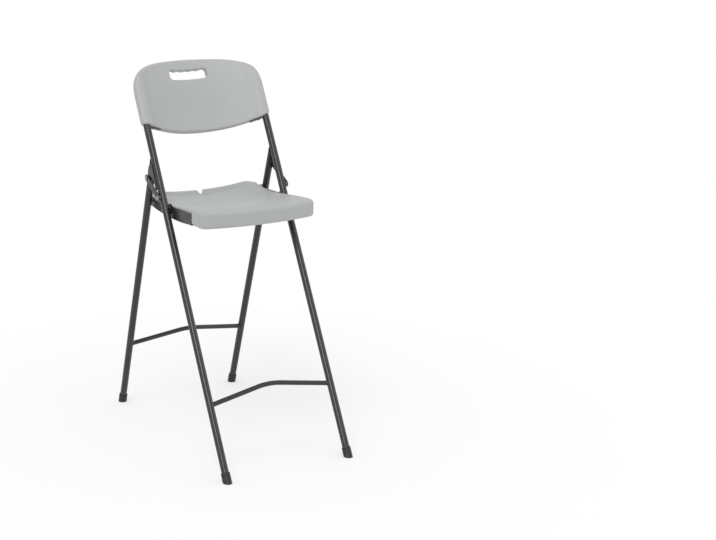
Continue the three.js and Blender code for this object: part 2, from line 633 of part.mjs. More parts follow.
// A pan-head screw whose head seats at the origin and whose shank points along -Y
function screw(length) {
  return new THREE.LatheGeometry([
    [0, -length], [SCREW_SHANK * 0.5, -length], [SCREW_SHANK, -length + SCREW_SHANK], [SCREW_SHANK, 0],
    [SCREW_HEAD, 0], [SCREW_HEAD * 0.8, SCREW_HEAD_HEIGHT * 0.8], [0, SCREW_HEAD_HEIGHT],
  ].map(([radius, y]) => new THREE.Vector2(radius, y)), SCREW_SEGMENTS);
}

// Gusset plate in the corner between rail and leg, in the front frame's own plane
function gusset() {
  const apex = alongRail(crossingHeight);
  const spread = railAngle + legAngle;
  const half = GUSSET_HALF_WIDTH;
  const onLegSide = alongLeg(crossingHeight - linkLegHeight) - WASHER_RADIUS - GUSSET_LEG_GAP;
  const onRailSide = alongRail(crossingHeight - linkRailHeight) - WASHER_RADIUS - GUSSET_RAIL_GAP;
  const legAt = (distance, off) => [
    distance * Math.sin(spread) - off * Math.cos(spread),
    apex - distance * Math.cos(spread) - off * Math.sin(spread),
  ];
  const railFoot = apex - onRailSide;
  const footRadius = (half - GUSSET_SETBACK) / 2;
  const topOnLeg = (GUSSET_TOP_DROP + half * Math.sin(spread)) / Math.cos(spread);
  const shape = new THREE.Shape();
  shape.moveTo(GUSSET_SETBACK, apex - GUSSET_TOP_DROP);
  shape.lineTo(GUSSET_SETBACK, railFoot);
  shape.absarc(GUSSET_SETBACK + footRadius, railFoot, footRadius, Math.PI, 2 * Math.PI);
  shape.quadraticCurveTo(half, apex - onLegSide, ...legAt(onLegSide, half));
  shape.lineTo(...legAt(onLegSide, -half));
  shape.lineTo(...legAt(topOnLeg, -half));
  shape.lineTo(GUSSET_SETBACK, apex - GUSSET_TOP_DROP);
  return sidePlate(shape, layerOne, layerOne + GUSSET_THICKNESS, ROUND_SEGMENTS / 2);
}

function link() {
  const { linkRail, linkLeg } = pivots;
  const length = linkLeg.distanceTo(linkRail);
  const half = LINK_WIDTH / 2;
  const shape = new THREE.Shape();
  shape.absarc(0, 0, half, Math.PI / 2, 1.5 * Math.PI);
  shape.absarc(length, 0, half, -Math.PI / 2, Math.PI / 2);
  for (const x of [0, length]) {
    shape.holes.push(new THREE.Path().absarc(x, 0, RIVET_SHANK + FIT, 0, 2 * Math.PI, true));
  }
  const plateShape = sidePlate(shape, layerTwo, layerTwo + LINK_THICKNESS, FITTING_SEGMENTS / 2);
  const heading = Math.atan2(linkLeg.y - linkRail.y, linkLeg.x - linkRail.x);
  return plateShape.rotateX(heading).translate(0, linkRail.x, linkRail.y);
}

// Seat plan: x across, y behind the front foot axis
const CORNER_TURN_SHARE = 0.45;
const CORNER_FRONT_SHARE = 0.05;
const REAR_TURN_SHARE = 0.4;
const FRONT_BOW_SHARE = 0.55;
const seatHalf = SEAT_WIDTH / 2;
const bodyHalf = seatHalf - SEAT_LIP_OVERHANG;
const seatFront = pivots.seatPivot.x - SEAT_AHEAD;
const seatRear = pivots.legPivot.x + SEAT_BEHIND;
const seatLength = seatRear - seatFront;
const channelInner = bodyHalf + CHANNEL_GAP;
const channelFace = channelInner + CHANNEL_THICKNESS;
const channelFront = seatFront + SEAT_LIP_DEPTH;
const channelRear = pivots.legPivot.x + CHANNEL_BEHIND;
const channelFloor = SEAT_HEIGHT - CHANNEL_FLOOR_DROP;
const seatUnderside = channelFloor + CHANNEL_THICKNESS + FIT;
const seatLip = seatUnderside - SEAT_LIP_DROP;
const braceRows = [channelFront + FRONT_BRACE_SETBACK, channelRear - REAR_BRACE_SETBACK];

function seatShape(inset) {
  const half = seatHalf - inset;
  const front = seatFront + inset;
  const rear = seatRear - inset;
  const cf = SEAT_FRONT_CORNER - inset / 2;
  const cr = SEAT_REAR_CORNER - inset / 2;
  const ends = front + SEAT_FRONT_BOW;
  const frontTurn = half - cf * CORNER_TURN_SHARE;
  const rearTurn = half - cr * REAR_TURN_SHARE;
  const bow = (half - cf) * FRONT_BOW_SHARE;
  const shape = new THREE.Shape();
  shape.moveTo(0, front);
  shape.quadraticCurveTo(bow, front, half - cf, ends);
  shape.bezierCurveTo(frontTurn, ends + cf * CORNER_FRONT_SHARE, half, ends + cf * CORNER_TURN_SHARE, half, ends + cf);
  shape.lineTo(half, rear - cr);
  shape.bezierCurveTo(half, rear - cr * REAR_TURN_SHARE, rearTurn, rear, half - cr, rear);
  shape.lineTo(cr - half, rear);
  shape.bezierCurveTo(-rearTurn, rear, -half, rear - cr * REAR_TURN_SHARE, -half, rear - cr);
  shape.lineTo(-half, ends + cf);
  shape.bezierCurveTo(-half, ends + cf * CORNER_TURN_SHARE, -frontTurn, ends + cf * CORNER_FRONT_SHARE, cf - half, ends);
  shape.quadraticCurveTo(-bow, front, 0, front);
  return shape;
}

// Shares of the seat's length between which its side edges dip and rise, its dish deepens
// and its front lip ends
const DIP_SHARES = [0.1, 0.72];
const RISE_SHARES = [0.78, 0.97];
const DISH_SHARES = [0.05, 0.6];
const LIP_SHARES = [0.06, 0.15];
const DISH_POWER = 0.8;
const RIM_POWER = 2.3;
const seatShare = (y) => THREE.MathUtils.clamp((y - seatFront) / seatLength, 0, 1);
const acrossShare = (x) => Math.min(Math.abs(x) / seatHalf, 1);
const sideDip = (s) => SEAT_SIDE_DIP * smooth(s, ...DIP_SHARES);
const seatSide = (s) => SEAT_HEIGHT - sideDip(s) + SEAT_REAR_RISE * smooth(s, ...RISE_SHARES);
const seatFloor = (s) => SEAT_HEIGHT - sideDip(s) - SEAT_DISH * smooth(s, ...DISH_SHARES);

// The dished upper face without the rear rim, and with it
function seatDish(p) {
  const s = seatShare(p.y);
  return seatSide(s) - (seatSide(s) - seatFloor(s)) * (1 - acrossShare(p.x) ** 2) ** DISH_POWER;
}

function seatTop(p) {
  const rim = seatSide(seatShare(p.y)) - SEAT_REAR_DROP * (1 - acrossShare(p.x) ** RIM_POWER);
  const share = smooth(p.y, seatRear - SEAT_RIM_FOOT, seatRear - SEAT_RIM_WIDTH);
  return seatDish(p) + (rim - seatDish(p)) * share;
}

const seatBottom = (p) => seatUnderside - SEAT_LIP_DROP * (1 - smooth(seatShare(p.y), ...LIP_SHARES));

// The V-notch in the rear edge, larger all round by grow, as a tool through the shell
function notchTool(grow) {
  const open = 2 * NOTCH_DEPTH;
  const slope = NOTCH_WIDTH / 2 / NOTCH_DEPTH;
  const shape = new THREE.Shape();
  shape.moveTo(-NOTCH_TIP, NOTCH_TIP / 2 - NOTCH_DEPTH);
  shape.quadraticCurveTo(0, -NOTCH_TIP / 2 - NOTCH_DEPTH, NOTCH_TIP, NOTCH_TIP / 2 - NOTCH_DEPTH);
  shape.lineTo(slope * open, open - NOTCH_DEPTH);
  shape.lineTo(-slope * open, open - NOTCH_DEPTH);
  const depth = SEAT_HEIGHT - seatLip + 2 * CUT_OVERRUN;
  const scale = 1 + grow / NOTCH_DEPTH;
  const tool = new THREE.ExtrudeGeometry(shape, { depth, bevelEnabled: false, curveSegments: 4 });
  return tool.scale(scale, scale, 1).translate(0, seatRear, seatLip - CUT_OVERRUN);
}

function seatShell() {
  const centre = new THREE.Vector2(0, (seatFront + seatRear) / 2);
  const outer = paddedPanel({
    outline: outlineOf(seatShape(0), 60), count: 60, centre, edge: SEAT_EDGE, underEdge: SEAT_UNDER_EDGE,
    upper: seatTop, lower: seatBottom,
    faceShares: [0.3, 0.6, 0.82, 0.937, 1], underShares: [0.62, 0.85, 1],
  });
  const cavity = paddedPanel({
    outline: outlineOf(seatShape(SEAT_SIDE_WALL), 32), count: 32, centre, edge: SEAT_WALL,
    upper: (p) => seatDish(p) - SEAT_WALL, lower: (p) => seatBottom(p) + SEAT_WALL,
    faceShares: [0.4, 0.75, 1], underShares: [0.55, 1], rounded: false,
  });
  const beyond = SEAT_WIDTH;
  const pocketFloor = channelInner - STUD_HEAD_HEIGHT - 2 * FIT;
  const pockets = [pivots.seatPivot, pivots.legPivot].flatMap((p) => Object.values(sides).map((side) => (
    mirrored(crossPin(STUD_HEAD + 3 * FIT, pocketFloor, beyond, p.x, p.y), side))));
  const low = seatLip - CUT_OVERRUN;
  const high = SEAT_HEIGHT + CUT_OVERRUN;
  const flanks = Object.values(sides).map((side) => mirrored(
    box(bodyHalf, beyond, channelFront - FIT, seatRear + CUT_OVERRUN, low, high), side));
  const holes = seatScrewPlaces().map(({ x, y }) => screwHole(x, y, seatUnderside, SEAT_WALL * 4));
  const vent = tube(VENT_RADIUS, 0, seatLip, seatUnderside + 2 * SEAT_WALL).translate(0, centre.y, 0);
  const hollow = solidOf(cavity).subtract(solidOf(notchTool(2 * SEAT_SIDE_WALL)));
  let solid = solidOf(outer).subtract(hollow);
  for (const tool of [...flanks, ...pockets, notchTool(0), vent, ...holes]) solid = solid.subtract(solidOf(tool));
  return geometryOf(solid);
}

// A screw's upright clearance hole, through z and as long as length
function screwHole(x, y, z, length) {
  return new THREE.CylinderGeometry(SCREW_SHANK + FIT, SCREW_SHANK + FIT, length, ROUND_SEGMENTS)
    .rotateX(Math.PI / 2).translate(x, y, z);
}

function seatScrewPlaces() {
  const x = channelInner - CHANNEL_FLANGE / 2;
  return Object.values(sides).flatMap((side) => braceRows.map((y) => ({ x: side * x, y })));
}

// Side channel: a web with an ear at each pivot, and a flange that the seat shell sits on
function seatChannel() {
  const front = channelFront;
  const rear = channelRear;
  const r = CHANNEL_CORNER;
  const top = SEAT_HEIGHT - CHANNEL_TOP_DROP;
  const rearTop = top - CHANNEL_TOP_FALL;
  const frontLow = SEAT_HEIGHT - CHANNEL_FRONT_DROP;
  const rearLow = SEAT_HEIGHT - CHANNEL_REAR_DROP;
  const web = new THREE.Shape();
  web.moveTo(front, frontLow);
  web.quadraticCurveTo((front + rear) / 2, (frontLow + rearLow) / 2 - 2 * CHANNEL_BELLY, rear, rearLow);
  web.lineTo(rear, rearTop - r);
  web.quadraticCurveTo(rear, rearTop, rear - r, rearTop);
  web.lineTo(front + r, top);
  web.quadraticCurveTo(front, top, front, top - r);
  const { seatPivot, legPivot } = pivots;
  const flangeTop = channelFloor + CHANNEL_THICKNESS;
  const channel = join(
    sidePlate(web, channelInner, channelFace, ROUND_SEGMENTS / 2),
    crossPin(SEAT_PIVOT_EAR, channelInner, channelFace, seatPivot.x, seatPivot.y),
    crossPin(LEG_PIVOT_EAR, channelInner, channelFace, legPivot.x, legPivot.y),
    box(channelInner - CHANNEL_FLANGE, channelFace, front, rear - FLANGE_SETBACK, channelFloor, flangeTop),
  );
  const pivotHole = ({ x, y }) => crossPin(RIVET_SHANK + FIT, channelInner - CUT_OVERRUN, channelFace + CUT_OVERRUN, x, y);
  const screwHoles = seatScrewPlaces().filter(({ x }) => x > 0)
    .map(({ x, y }) => screwHole(x, y, channelFloor, CUT_OVERRUN));
  return cut(channel, pivotHole(seatPivot), pivotHole(legPivot), ...screwHoles);
}

// Cross brace: a shallow pressed channel under the seat, with flat ends below the flanges
function seatBrace(y) {
  const half = SEAT_BRACE_WIDTH / 2;
  const top = channelFloor - FIT;
  const wall = SEAT_BRACE_WALL;
  const low = top - SEAT_BRACE_DEPTH;
  const section = new THREE.Shape([
    [-half, low], [-half + wall, low], [-half + wall, top - wall], [half - wall, top - wall],
    [half - wall, low], [half, low], [half, top], [-half, top],
  ].map(([a, b]) => new THREE.Vector2(y + a, b)));
  const end = channelInner;
  const inner = end - SEAT_BRACE_END;
  const brace = join(sidePlate(section, -inner, inner), box(-end, end, y - half, y + half, top - wall, top));
  return cut(brace, ...seatScrewPlaces().filter((p) => p.y === y).map((p) => screwHole(p.x, y, top, CUT_OVERRUN)));
}

// The rivet that carries the seat on the rail: head inside the channel, blind end in the rail
function seatRivet() {
  const head = channelInner - FIT;
  const tail = halfSpacing - Math.sqrt(boreRadius ** 2 - RIVET_TAIL ** 2) + FIT;
  const { x, y } = pivots.seatPivot;
  return turnedAboutX([
    [head - STUD_HEAD_HEIGHT, 0], [head - STUD_HEAD_HEIGHT, STUD_HEAD * 0.85], [head, STUD_HEAD],
    [head, RIVET_SHANK], [tail, RIVET_SHANK], [tail, RIVET_TAIL],
    [tail + RIVET_TAIL_LENGTH, RIVET_TAIL * 0.7], [tail + RIVET_TAIL_LENGTH, 0],
  ], x, y);
}

function seatBush() {
  const hole = RIVET_SHANK + FIT;
  const from = channelFace + FIT;
  const to = halfSpacing - tubeRadius - FIT;
  const { x, y } = pivots.seatPivot;
  return turnedAboutX([[from, hole], [from, WASHER_RADIUS], [to, WASHER_RADIUS], [to, hole], [from, hole]], x, y);
}

// The shoulder stud at the channel's rear that bears on the leg's inner face
function legStud() {
  const head = channelInner - FIT;
  const shoulder = channelFace + FIT;
  const to = halfSpacing - tubeRadius - FIT;
  const { x, y } = pivots.legPivot;
  return turnedAboutX([
    [head - STUD_HEAD_HEIGHT, 0], [head - STUD_HEAD_HEIGHT, STUD_HEAD * 0.85], [head, STUD_HEAD],
    [head, RIVET_SHANK], [shoulder, RIVET_SHANK], [shoulder, WASHER_RADIUS], [to, WASHER_RADIUS], [to, 0],
  ], x, y);
}

// Plug in the leg's open top
function legPlug() {
  const inner = boreRadius - FIT;
  return new THREE.LatheGeometry([
    [0, -PLUG_DEPTH], [inner * 0.85, -PLUG_DEPTH], [inner, -PLUG_DEPTH * 0.8], [inner, FIT], [tubeRadius, FIT],
    [tubeRadius, PLUG_HEAD * 0.6], [tubeRadius * 0.8, PLUG_HEAD], [0, PLUG_HEAD],
  ].map(([radius, y]) => new THREE.Vector2(radius, y)), FITTING_SEGMENTS).rotateX(Math.PI / 2);
}

// The front frame, in its own axes: x across, y behind the rails' plane, z along the rails
function frontFrame() {
  const group = new THREE.Group();
  group.rotation.x = -railAngle;
  const linkAlong = alongRail(linkRailHeight);
  const seatAlong = alongRail(seatPivotHeight);
  const railScrewReach = railScrewSeat - boreRadius + SCREW_BITE;
  const bracketScrewAlong = backLowerEdge(bracketScrewX - SCREW_HEAD) - BRACKET_THICKNESS - 2 * FIT;
  for (const [name, side] of Object.entries(sides)) {
    const cap = footCap(railAngle, side);
    const inner = halfSpacing - tubeRadius;
    const rail = cut(
      tube(tubeRadius, boreRadius, cap.tubeStart, railEnd).translate(halfSpacing, 0, 0),
      crossPin(RIVET_SHANK + FIT, halfSpacing, halfSpacing + TUBE_DIAMETER, 0, linkAlong),
      crossPin(RIVET_SHANK + FIT, inner - TUBE_DIAMETER, halfSpacing, 0, seatAlong),
      crossHole(SCREW_SHANK + FIT, halfSpacing, railScrewAlong, 0, TUBE_DIAMETER),
    );
    group.add(named(`rail_${name}`, mirrored(rail, side), steel));
    group.add(named(`front_foot_cap_${name}`, cap.geometry, black));
    group.add(named(`back_bracket_${name}`, mirrored(backBracket(), side), plate));
    const railScrew = screw(railScrewReach).translate(side * halfSpacing, railScrewSeat + FIT, railScrewAlong);
    const bracketScrew = screw(BRACKET_THICKNESS + SCREW_HOLE / 2).rotateX(-Math.PI / 2)
      .translate(side * bracketScrewX, bracketCurve(bracketScrewX), bracketScrewAlong);
    group.add(named(`back_rail_screw_${name}`, railScrew, zinc));
    group.add(named(`back_bracket_screw_${name}`, bracketScrew, zinc));
    group.add(named(`gusset_${name}`, mirrored(gusset(), side), plate));
    group.add(named(`link_rail_rivet_${name}`, mirrored(linkRivet(0, linkAlong), side), zinc));
    group.add(named(`link_rail_washer_${name}`, mirrored(linkWasher(0, linkAlong), side), zinc));
  }
  group.add(named('front_foot_bar', footBar(alongRail(FRONT_BAR_HEIGHT), FRONT_BAR_RISE), steel));
  group.add(named('backrest', backrest(), plastic));
  return group;
}

// The rear legs, in their own axes: x across, z up along the legs from the floor
function rearLegs() {
  const group = new THREE.Group();
  group.position.y = footSpan;
  group.rotation.x = legAngle;
  const top = alongLeg(crossingHeight) - LEG_TOP_SETBACK;
  const linkAlong = alongLeg(linkLegHeight);
  for (const [name, side] of Object.entries(sides)) {
    const cap = footCap(-legAngle, side);
    const leg = cut(
      tube(tubeRadius, boreRadius, cap.tubeStart, top).translate(halfSpacing, 0, 0),
      crossPin(RIVET_SHANK + FIT, halfSpacing, halfSpacing + TUBE_DIAMETER, 0, linkAlong),
    );
    group.add(named(`rear_leg_${name}`, mirrored(leg, side), steel));
    group.add(named(`rear_foot_cap_${name}`, cap.geometry, black));
    group.add(named(`leg_plug_${name}`, legPlug().translate(side * halfSpacing, 0, top), black));
    group.add(named(`link_leg_rivet_${name}`, mirrored(linkRivet(0, linkAlong), side), zinc));
    group.add(named(`link_leg_washer_${name}`, mirrored(linkWasher(0, linkAlong), side), zinc));
  }
  group.add(named('rear_foot_bar', footBar(alongLeg(REAR_BAR_HEIGHT), REAR_BAR_RISE), steel));
  return group;
}

// The seat with its steel frame, and the links: side-view positions as they stand
function seatAndLinks() {
  const group = new THREE.Group();
  group.add(named('seat_shell', seatShell(), plastic));
  for (const [name, side] of Object.entries(sides)) {
    group.add(named(`seat_channel_${name}`, mirrored(seatChannel(), side), plate));
    group.add(named(`leg_stud_${name}`, mirrored(legStud(), side), zinc));
    group.add(named(`seat_rivet_${name}`, mirrored(seatRivet(), side), zinc));
    group.add(named(`seat_bush_${name}`, mirrored(seatBush(), side), black));
    group.add(named(`link_${name}`, mirrored(link(), side), plate));
  }
  group.add(named('seat_brace_front', seatBrace(braceRows[0]), plate));
  group.add(named('seat_brace_rear', seatBrace(braceRows[1]), plate));
  seatScrewPlaces().forEach(({ x, y }, i) => {
    const under = channelFloor - SEAT_BRACE_WALL - 2 * FIT;
    const reach = seatUnderside + SEAT_WALL + SCREW_BITE - under;
    const upright = screw(reach).rotateX(-Math.PI / 2).translate(x, y, under);
    group.add(named(`seat_screw_${i + 1}`, upright, zinc));
  });
  return group;
}

const stool = new THREE.Group();
stool.position.y = -footprintMiddle;
stool.add(frontFrame(), rearLegs(), seatAndLinks());

export default stool;
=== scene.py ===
# %% [markdown]
# # A folding bar stool, finished over its CAD model
#
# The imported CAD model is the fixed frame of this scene: it gives every piece its place and
# its size. Here each visible piece gets the smooth form, the rounded edges and the finish
# that the real one has. Powder-coated tubes, pressed steel plates, blow-moulded plastic and
# small plated fasteners are made in that order.

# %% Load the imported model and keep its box
import json
import math

import bmesh
import bpy
from mathutils import Matrix, Vector


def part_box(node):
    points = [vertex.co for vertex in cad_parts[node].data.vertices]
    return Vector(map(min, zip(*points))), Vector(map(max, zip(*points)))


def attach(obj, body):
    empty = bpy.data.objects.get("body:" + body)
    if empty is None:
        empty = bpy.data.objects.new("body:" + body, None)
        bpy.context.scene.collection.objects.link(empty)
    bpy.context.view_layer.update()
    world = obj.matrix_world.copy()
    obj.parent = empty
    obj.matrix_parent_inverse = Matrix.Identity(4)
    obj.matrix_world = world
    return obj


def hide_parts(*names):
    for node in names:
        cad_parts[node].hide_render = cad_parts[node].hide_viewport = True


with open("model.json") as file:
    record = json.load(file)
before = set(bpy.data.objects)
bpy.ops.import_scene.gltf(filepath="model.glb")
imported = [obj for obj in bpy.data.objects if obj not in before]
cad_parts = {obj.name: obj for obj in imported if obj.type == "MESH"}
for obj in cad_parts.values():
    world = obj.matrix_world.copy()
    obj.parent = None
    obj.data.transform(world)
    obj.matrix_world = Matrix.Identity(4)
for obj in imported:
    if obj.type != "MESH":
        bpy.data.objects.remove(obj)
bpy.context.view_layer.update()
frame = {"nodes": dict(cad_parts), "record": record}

# %% [markdown]
# ## Places and sizes
#
# The stool leans two ways: the rails lean back and the legs lean forward. Each pair gets a
# matrix that stands upright work on the lean. A piece can then be built straight, with z
# along the tube, and the matrix puts it in place. Lengths are in metres, or in millimetres
# times MM. Sections and outlines are drawn in plain millimetres, and so are the sizes that
# they share: CAP_OUTER, RAIL_X and BACK_RISE.

# %% Sizes shared by several pieces
MM = 0.001
RAIL_LEAN = math.radians(28.44)
LEG_LEAN = math.radians(17.93)
FOOT_SPAN = 760 * MM
CAP_OUTER = 13.6
CAP_RADIUS = CAP_OUTER * MM
RAIL_X = 206
HALF_SPACING = RAIL_X * MM
TUBE_RADIUS = 11 * MM
SIDES = (("left", 1), ("right", -1))
front_line = (CAP_RADIUS / math.cos(RAIL_LEAN) - FOOT_SPAN - CAP_RADIUS / math.cos(LEG_LEAN)) / 2
on_rails = Matrix.Translation((0, front_line, 0)) @ Matrix.Rotation(-RAIL_LEAN, 4, "X")
on_legs = Matrix.Translation((0, front_line + FOOT_SPAN, 0)) @ Matrix.Rotation(LEG_LEAN, 4, "X")
print("front foot axis at y =", round(front_line, 5))


def along_rail(height):
    return height / math.cos(RAIL_LEAN)


def along_leg(height):
    return height / math.cos(LEG_LEAN)


# %% [markdown]
# ## Helpers for objects and node trees
#
# Surfaces and shapes are both written as node trees. `add_node` makes a node with its links,
# values and settings, and `add` gives its first output, which is mostly what is wanted.
# `maths` and `vector` do so for the two commonest kinds.


# %% Helpers for objects and node trees
def new_object(name, data):
    thing = bpy.data.objects.new(name, data)
    bpy.context.scene.collection.objects.link(thing)
    return thing


def new_material(name):
    material = bpy.data.materials.new(name)
    material.use_nodes = True
    return material, material.node_tree, material.node_tree.nodes["Principled BSDF"]


def feed(tree, sockets, sources):
    """Gives each named socket a link from another socket, or else a plain value."""
    for key, source in dict(sources).items():
        if isinstance(source, bpy.types.NodeSocket):
            tree.links.new(source, sockets[key])
        else:
            sockets[key].default_value = source


def add_node(tree, kind, sources=(), settings=()):
    node = tree.nodes.new(kind)
    for key, value in dict(settings).items():
        setattr(node, key, value)
    feed(tree, node.inputs, sources)
    return node


def add(*node):
    return add_node(*node).outputs[0]


def maths(tree, operation, *sources):
    return add(tree, "ShaderNodeMath", enumerate(sources), {"operation": operation})


def vector(tree, **axes):
    return add(tree, "ShaderNodeCombineXYZ", axes)


def object_position(tree):
    return add_node(tree, "ShaderNodeTexCoord").outputs["Object"]


# %% [markdown]
# ## The camera
#
# The camera stands where the photographer stood: in front of the stool, to the sitter's
# right, and higher than the backrest. It looks a little down, through a long lens. The stool
# sits left of the picture's middle, and that is what the lens shift is for.

# %% Make the camera
CAMERA_PLACE = Vector((-1.96839, -3.393 + front_line, 1.69307))
CAMERA_TURN = -0.49361
CAMERA_DIP = 0.24808
forward = Vector((
    -math.sin(CAMERA_TURN) * math.cos(CAMERA_DIP),
    math.cos(CAMERA_TURN) * math.cos(CAMERA_DIP),
    -math.sin(CAMERA_DIP),
))
rightward = Vector((math.cos(CAMERA_TURN), math.sin(CAMERA_TURN), 0))
upward = rightward.cross(forward)
camera_data = bpy.data.cameras.new("camera")
camera_data.lens = 71.6
camera_data.sensor_width = 36
camera_data.shift_x = 0.15545
camera_data.shift_y = -0.04169
camera_data.clip_end = 50
camera = new_object("camera", camera_data)
camera.matrix_world = Matrix.Translation(CAMERA_PLACE) @ Matrix(
    (rightward, upward, -forward)).transposed().to_4x4()
bpy.context.scene.camera = camera
print("camera at", tuple(round(value, 3) for value in CAMERA_PLACE))

# %% [markdown]
# ## Floor and light
#
# The stool was photographed on white, with light from all round. A white world gives that,
# with one broad lamp for shape and a weaker one on the other side. What the camera and
# reflections see is white, but the light on the object stays at a plain level. A tall window
# shows in reflections only, and draws the bright line that runs along each front tube. The
# floor is shaded near the stool, so that it keeps the shadow, and fades to plain white
# further out. View transform Standard keeps the colours as they are written.

# %% Build the floor, the lamps and the world
FLOOR_RADIUS, FLOOR_SIDES = 7.0, 96
FADE_START, FADE_END, WHITE_AT_START = 0.5, 1.5, 0.55
AMBIENT = 0.85
bpy.context.scene.view_settings.view_transform = "Standard"


def seen_directly(tree):
    """1 for the camera's rays and for mirrored and refracted ones, 0 for light on surfaces."""
    path = add_node(tree, "ShaderNodeLightPath").outputs
    either = maths(tree, "MAXIMUM", path["Is Camera Ray"], path["Is Glossy Ray"])
    return maths(tree, "MAXIMUM", either, path["Is Transmission Ray"])


def round_floor():
    points = [(FLOOR_RADIUS * math.cos(turn), FLOOR_RADIUS * math.sin(turn), 0)
              for turn in (2 * math.pi * k / FLOOR_SIDES for k in range(FLOOR_SIDES))]
    mesh = bpy.data.meshes.new("floor")
    mesh.from_pydata(points, [], [tuple(range(FLOOR_SIDES))])
    return new_object("floor", mesh)


def floor_finish():
    material, tree, shader = new_material("white floor")
    grain = add(tree, "ShaderNodeTexNoise", {"Scale": 60})
    bump = add(tree, "ShaderNodeBump", {"Height": grain, "Strength": 0.03})
    feed(tree, shader.inputs, {
        "Base Color": (0.93, 0.93, 0.93, 1), "Roughness": 0.9, "Specular IOR Level": 0.1, "Normal": bump})
    white = add(tree, "ShaderNodeEmission", {"Color": (1, 1, 1, 1), "Strength": 1})
    distance = add_node(tree, "ShaderNodeVectorMath", {"Vector": object_position(tree)},
                        {"operation": "LENGTH"})
    fade = add(tree, "ShaderNodeMapRange", {
        "Value": distance.outputs["Value"], "From Min": FADE_START, "From Max": FADE_END,
        "To Min": WHITE_AT_START, "To Max": 1.0}, {"interpolation_type": "SMOOTHSTEP"})
    share = maths(tree, "MULTIPLY", fade, seen_directly(tree))
    mix = add(tree, "ShaderNodeMixShader", {"Fac": share, 1: shader.outputs["BSDF"], 2: white})
    feed(tree, tree.nodes["Material Output"].inputs, {"Surface": mix})
    return material


floor = round_floor()
floor.data.materials.append(floor_finish())


def soft_lamp(name, place, target_height, width, power, height=None):
    data = bpy.data.lights.new(name, "AREA")
    data.shape = "RECTANGLE" if height else "DISK"
    data.size = width
    if height:
        data.size_y = height
    data.energy = power
    lamp = new_object(name, data)
    lamp.location = place
    aim = Vector((0, 0, target_height)) - Vector(place)
    lamp.rotation_euler = aim.to_track_quat("-Z", "Y").to_euler()
    return lamp


soft_lamp("broad lamp", (-1.5, -1.1, 4.2), 0.7, width=1.6, power=38)
soft_lamp("side lamp", (3.0, -2.0, 2.2), 0.7, width=2.4, power=10)
window = soft_lamp("window for the tubes", (-2.1, -2.67, 2.55), 0.6, width=1.0, power=50, height=2.2)
window.visible_diffuse = False


def white_world():
    world = bpy.data.worlds.new("studio")
    world.use_nodes = True
    tree = world.node_tree
    strength = add(tree, "ShaderNodeMix", {"Factor": seen_directly(tree), "A": AMBIENT, "B": 1})
    feed(tree, tree.nodes["Background"].inputs,
         {"Color": (1, 1, 1, 1), "Strength": strength})
    return world


bpy.context.scene.world = white_world()
print("floor, three lamps and world ready")

# %% [markdown]
# ## Shared surface effects
#
# Three effects turn up in more than one finish. Moulded plastic and powder coat both have a
# fine uneven skin, and both vary a little in tone over a hand's width. A third mask changes
# colour and roughness below a given height. On the tubes and caps it is wear near the floor
# and where shoes rub. On the grey plastic it is painted shade, darker under the seat. Each
# effect is a node group with named inputs, built once.
# A group gives out only masks and heights, and the shader stays in the material.


# %% A helper that starts a shader group
def start_group(name, inputs, output):
    tree = bpy.data.node_groups.new(name, "ShaderNodeTree")
    for label, value in inputs:
        socket = tree.interface.new_socket(label, in_out="INPUT", socket_type="NodeSocketFloat")
        socket.default_value = value
    tree.interface.new_socket(output, in_out="OUTPUT", socket_type="NodeSocketFloat")
    return tree, add_node(tree, "NodeGroupInput").outputs, add_node(tree, "NodeGroupOutput").inputs


# %% The fine skin: small bumps of two sizes
def make_fine_skin():
    tree, given, result = start_group(
        "fine skin", [("Coarse Scale", 300), ("Fine Scale", 1400), ("Fine Share", 0.5)], "Height")
    position = object_position(tree)
    cells = add(tree, "ShaderNodeTexVoronoi",
                {"Vector": position, "Scale": given["Coarse Scale"]}, {"feature": "SMOOTH_F1"})
    grain = add(tree, "ShaderNodeTexNoise",
                {"Vector": position, "Scale": given["Fine Scale"], "Detail": 2})
    mix = add(tree, "ShaderNodeMix", {"Factor": given["Fine Share"],
                                      "A": cells, "B": grain})
    feed(tree, result, {"Height": mix})
    return tree


fine_skin = make_fine_skin()
print("group:", fine_skin.name)


# %% The slow change of tone over a surface
def make_slow_tone():
    tree, given, result = start_group(
        "slow tone", [("Scale", 9), ("Lowest", 0.96), ("Highest", 1.03)], "Tone")
    cloud = add(tree, "ShaderNodeTexNoise",
                {"Vector": object_position(tree), "Scale": given["Scale"], "Detail": 3})
    spread = add(tree, "ShaderNodeMapRange", {
        "Value": cloud, "From Min": 0.3, "From Max": 0.7,
        "To Min": given["Lowest"], "To Max": given["Highest"]})
    feed(tree, result, {"Tone": spread})
    return tree


slow_tone = make_slow_tone()
print("group:", slow_tone.name)


# %% A mask for wear and for painted shade: strongest near one height, broken up by noise
def make_wear_and_shade():
    tree, given, result = start_group(
        "rubbed", [("Full Height", 0.0), ("Clean Height", 0.12), ("Amount", 0.5)], "Mask")
    position = object_position(tree)
    split = add_node(tree, "ShaderNodeSeparateXYZ", {"Vector": position})
    fade = add(tree, "ShaderNodeMapRange", {
        "Value": split.outputs["Z"], "From Min": given["Full Height"],
        "From Max": given["Clean Height"], "To Min": 1, "To Max": 0})
    streaks = add(tree, "ShaderNodeTexNoise", {"Vector": position, "Scale": 110, "Detail": 5})
    sharp = add(tree, "ShaderNodeMapRange", {"Value": streaks, "From Min": 0.5, "From Max": 0.72})
    both = maths(tree, "MULTIPLY", fade, sharp)
    feed(tree, result, {"Mask": maths(tree, "MULTIPLY", both, given["Amount"])})
    return tree


rubbed = make_wear_and_shade()
print("group:", rubbed.name)
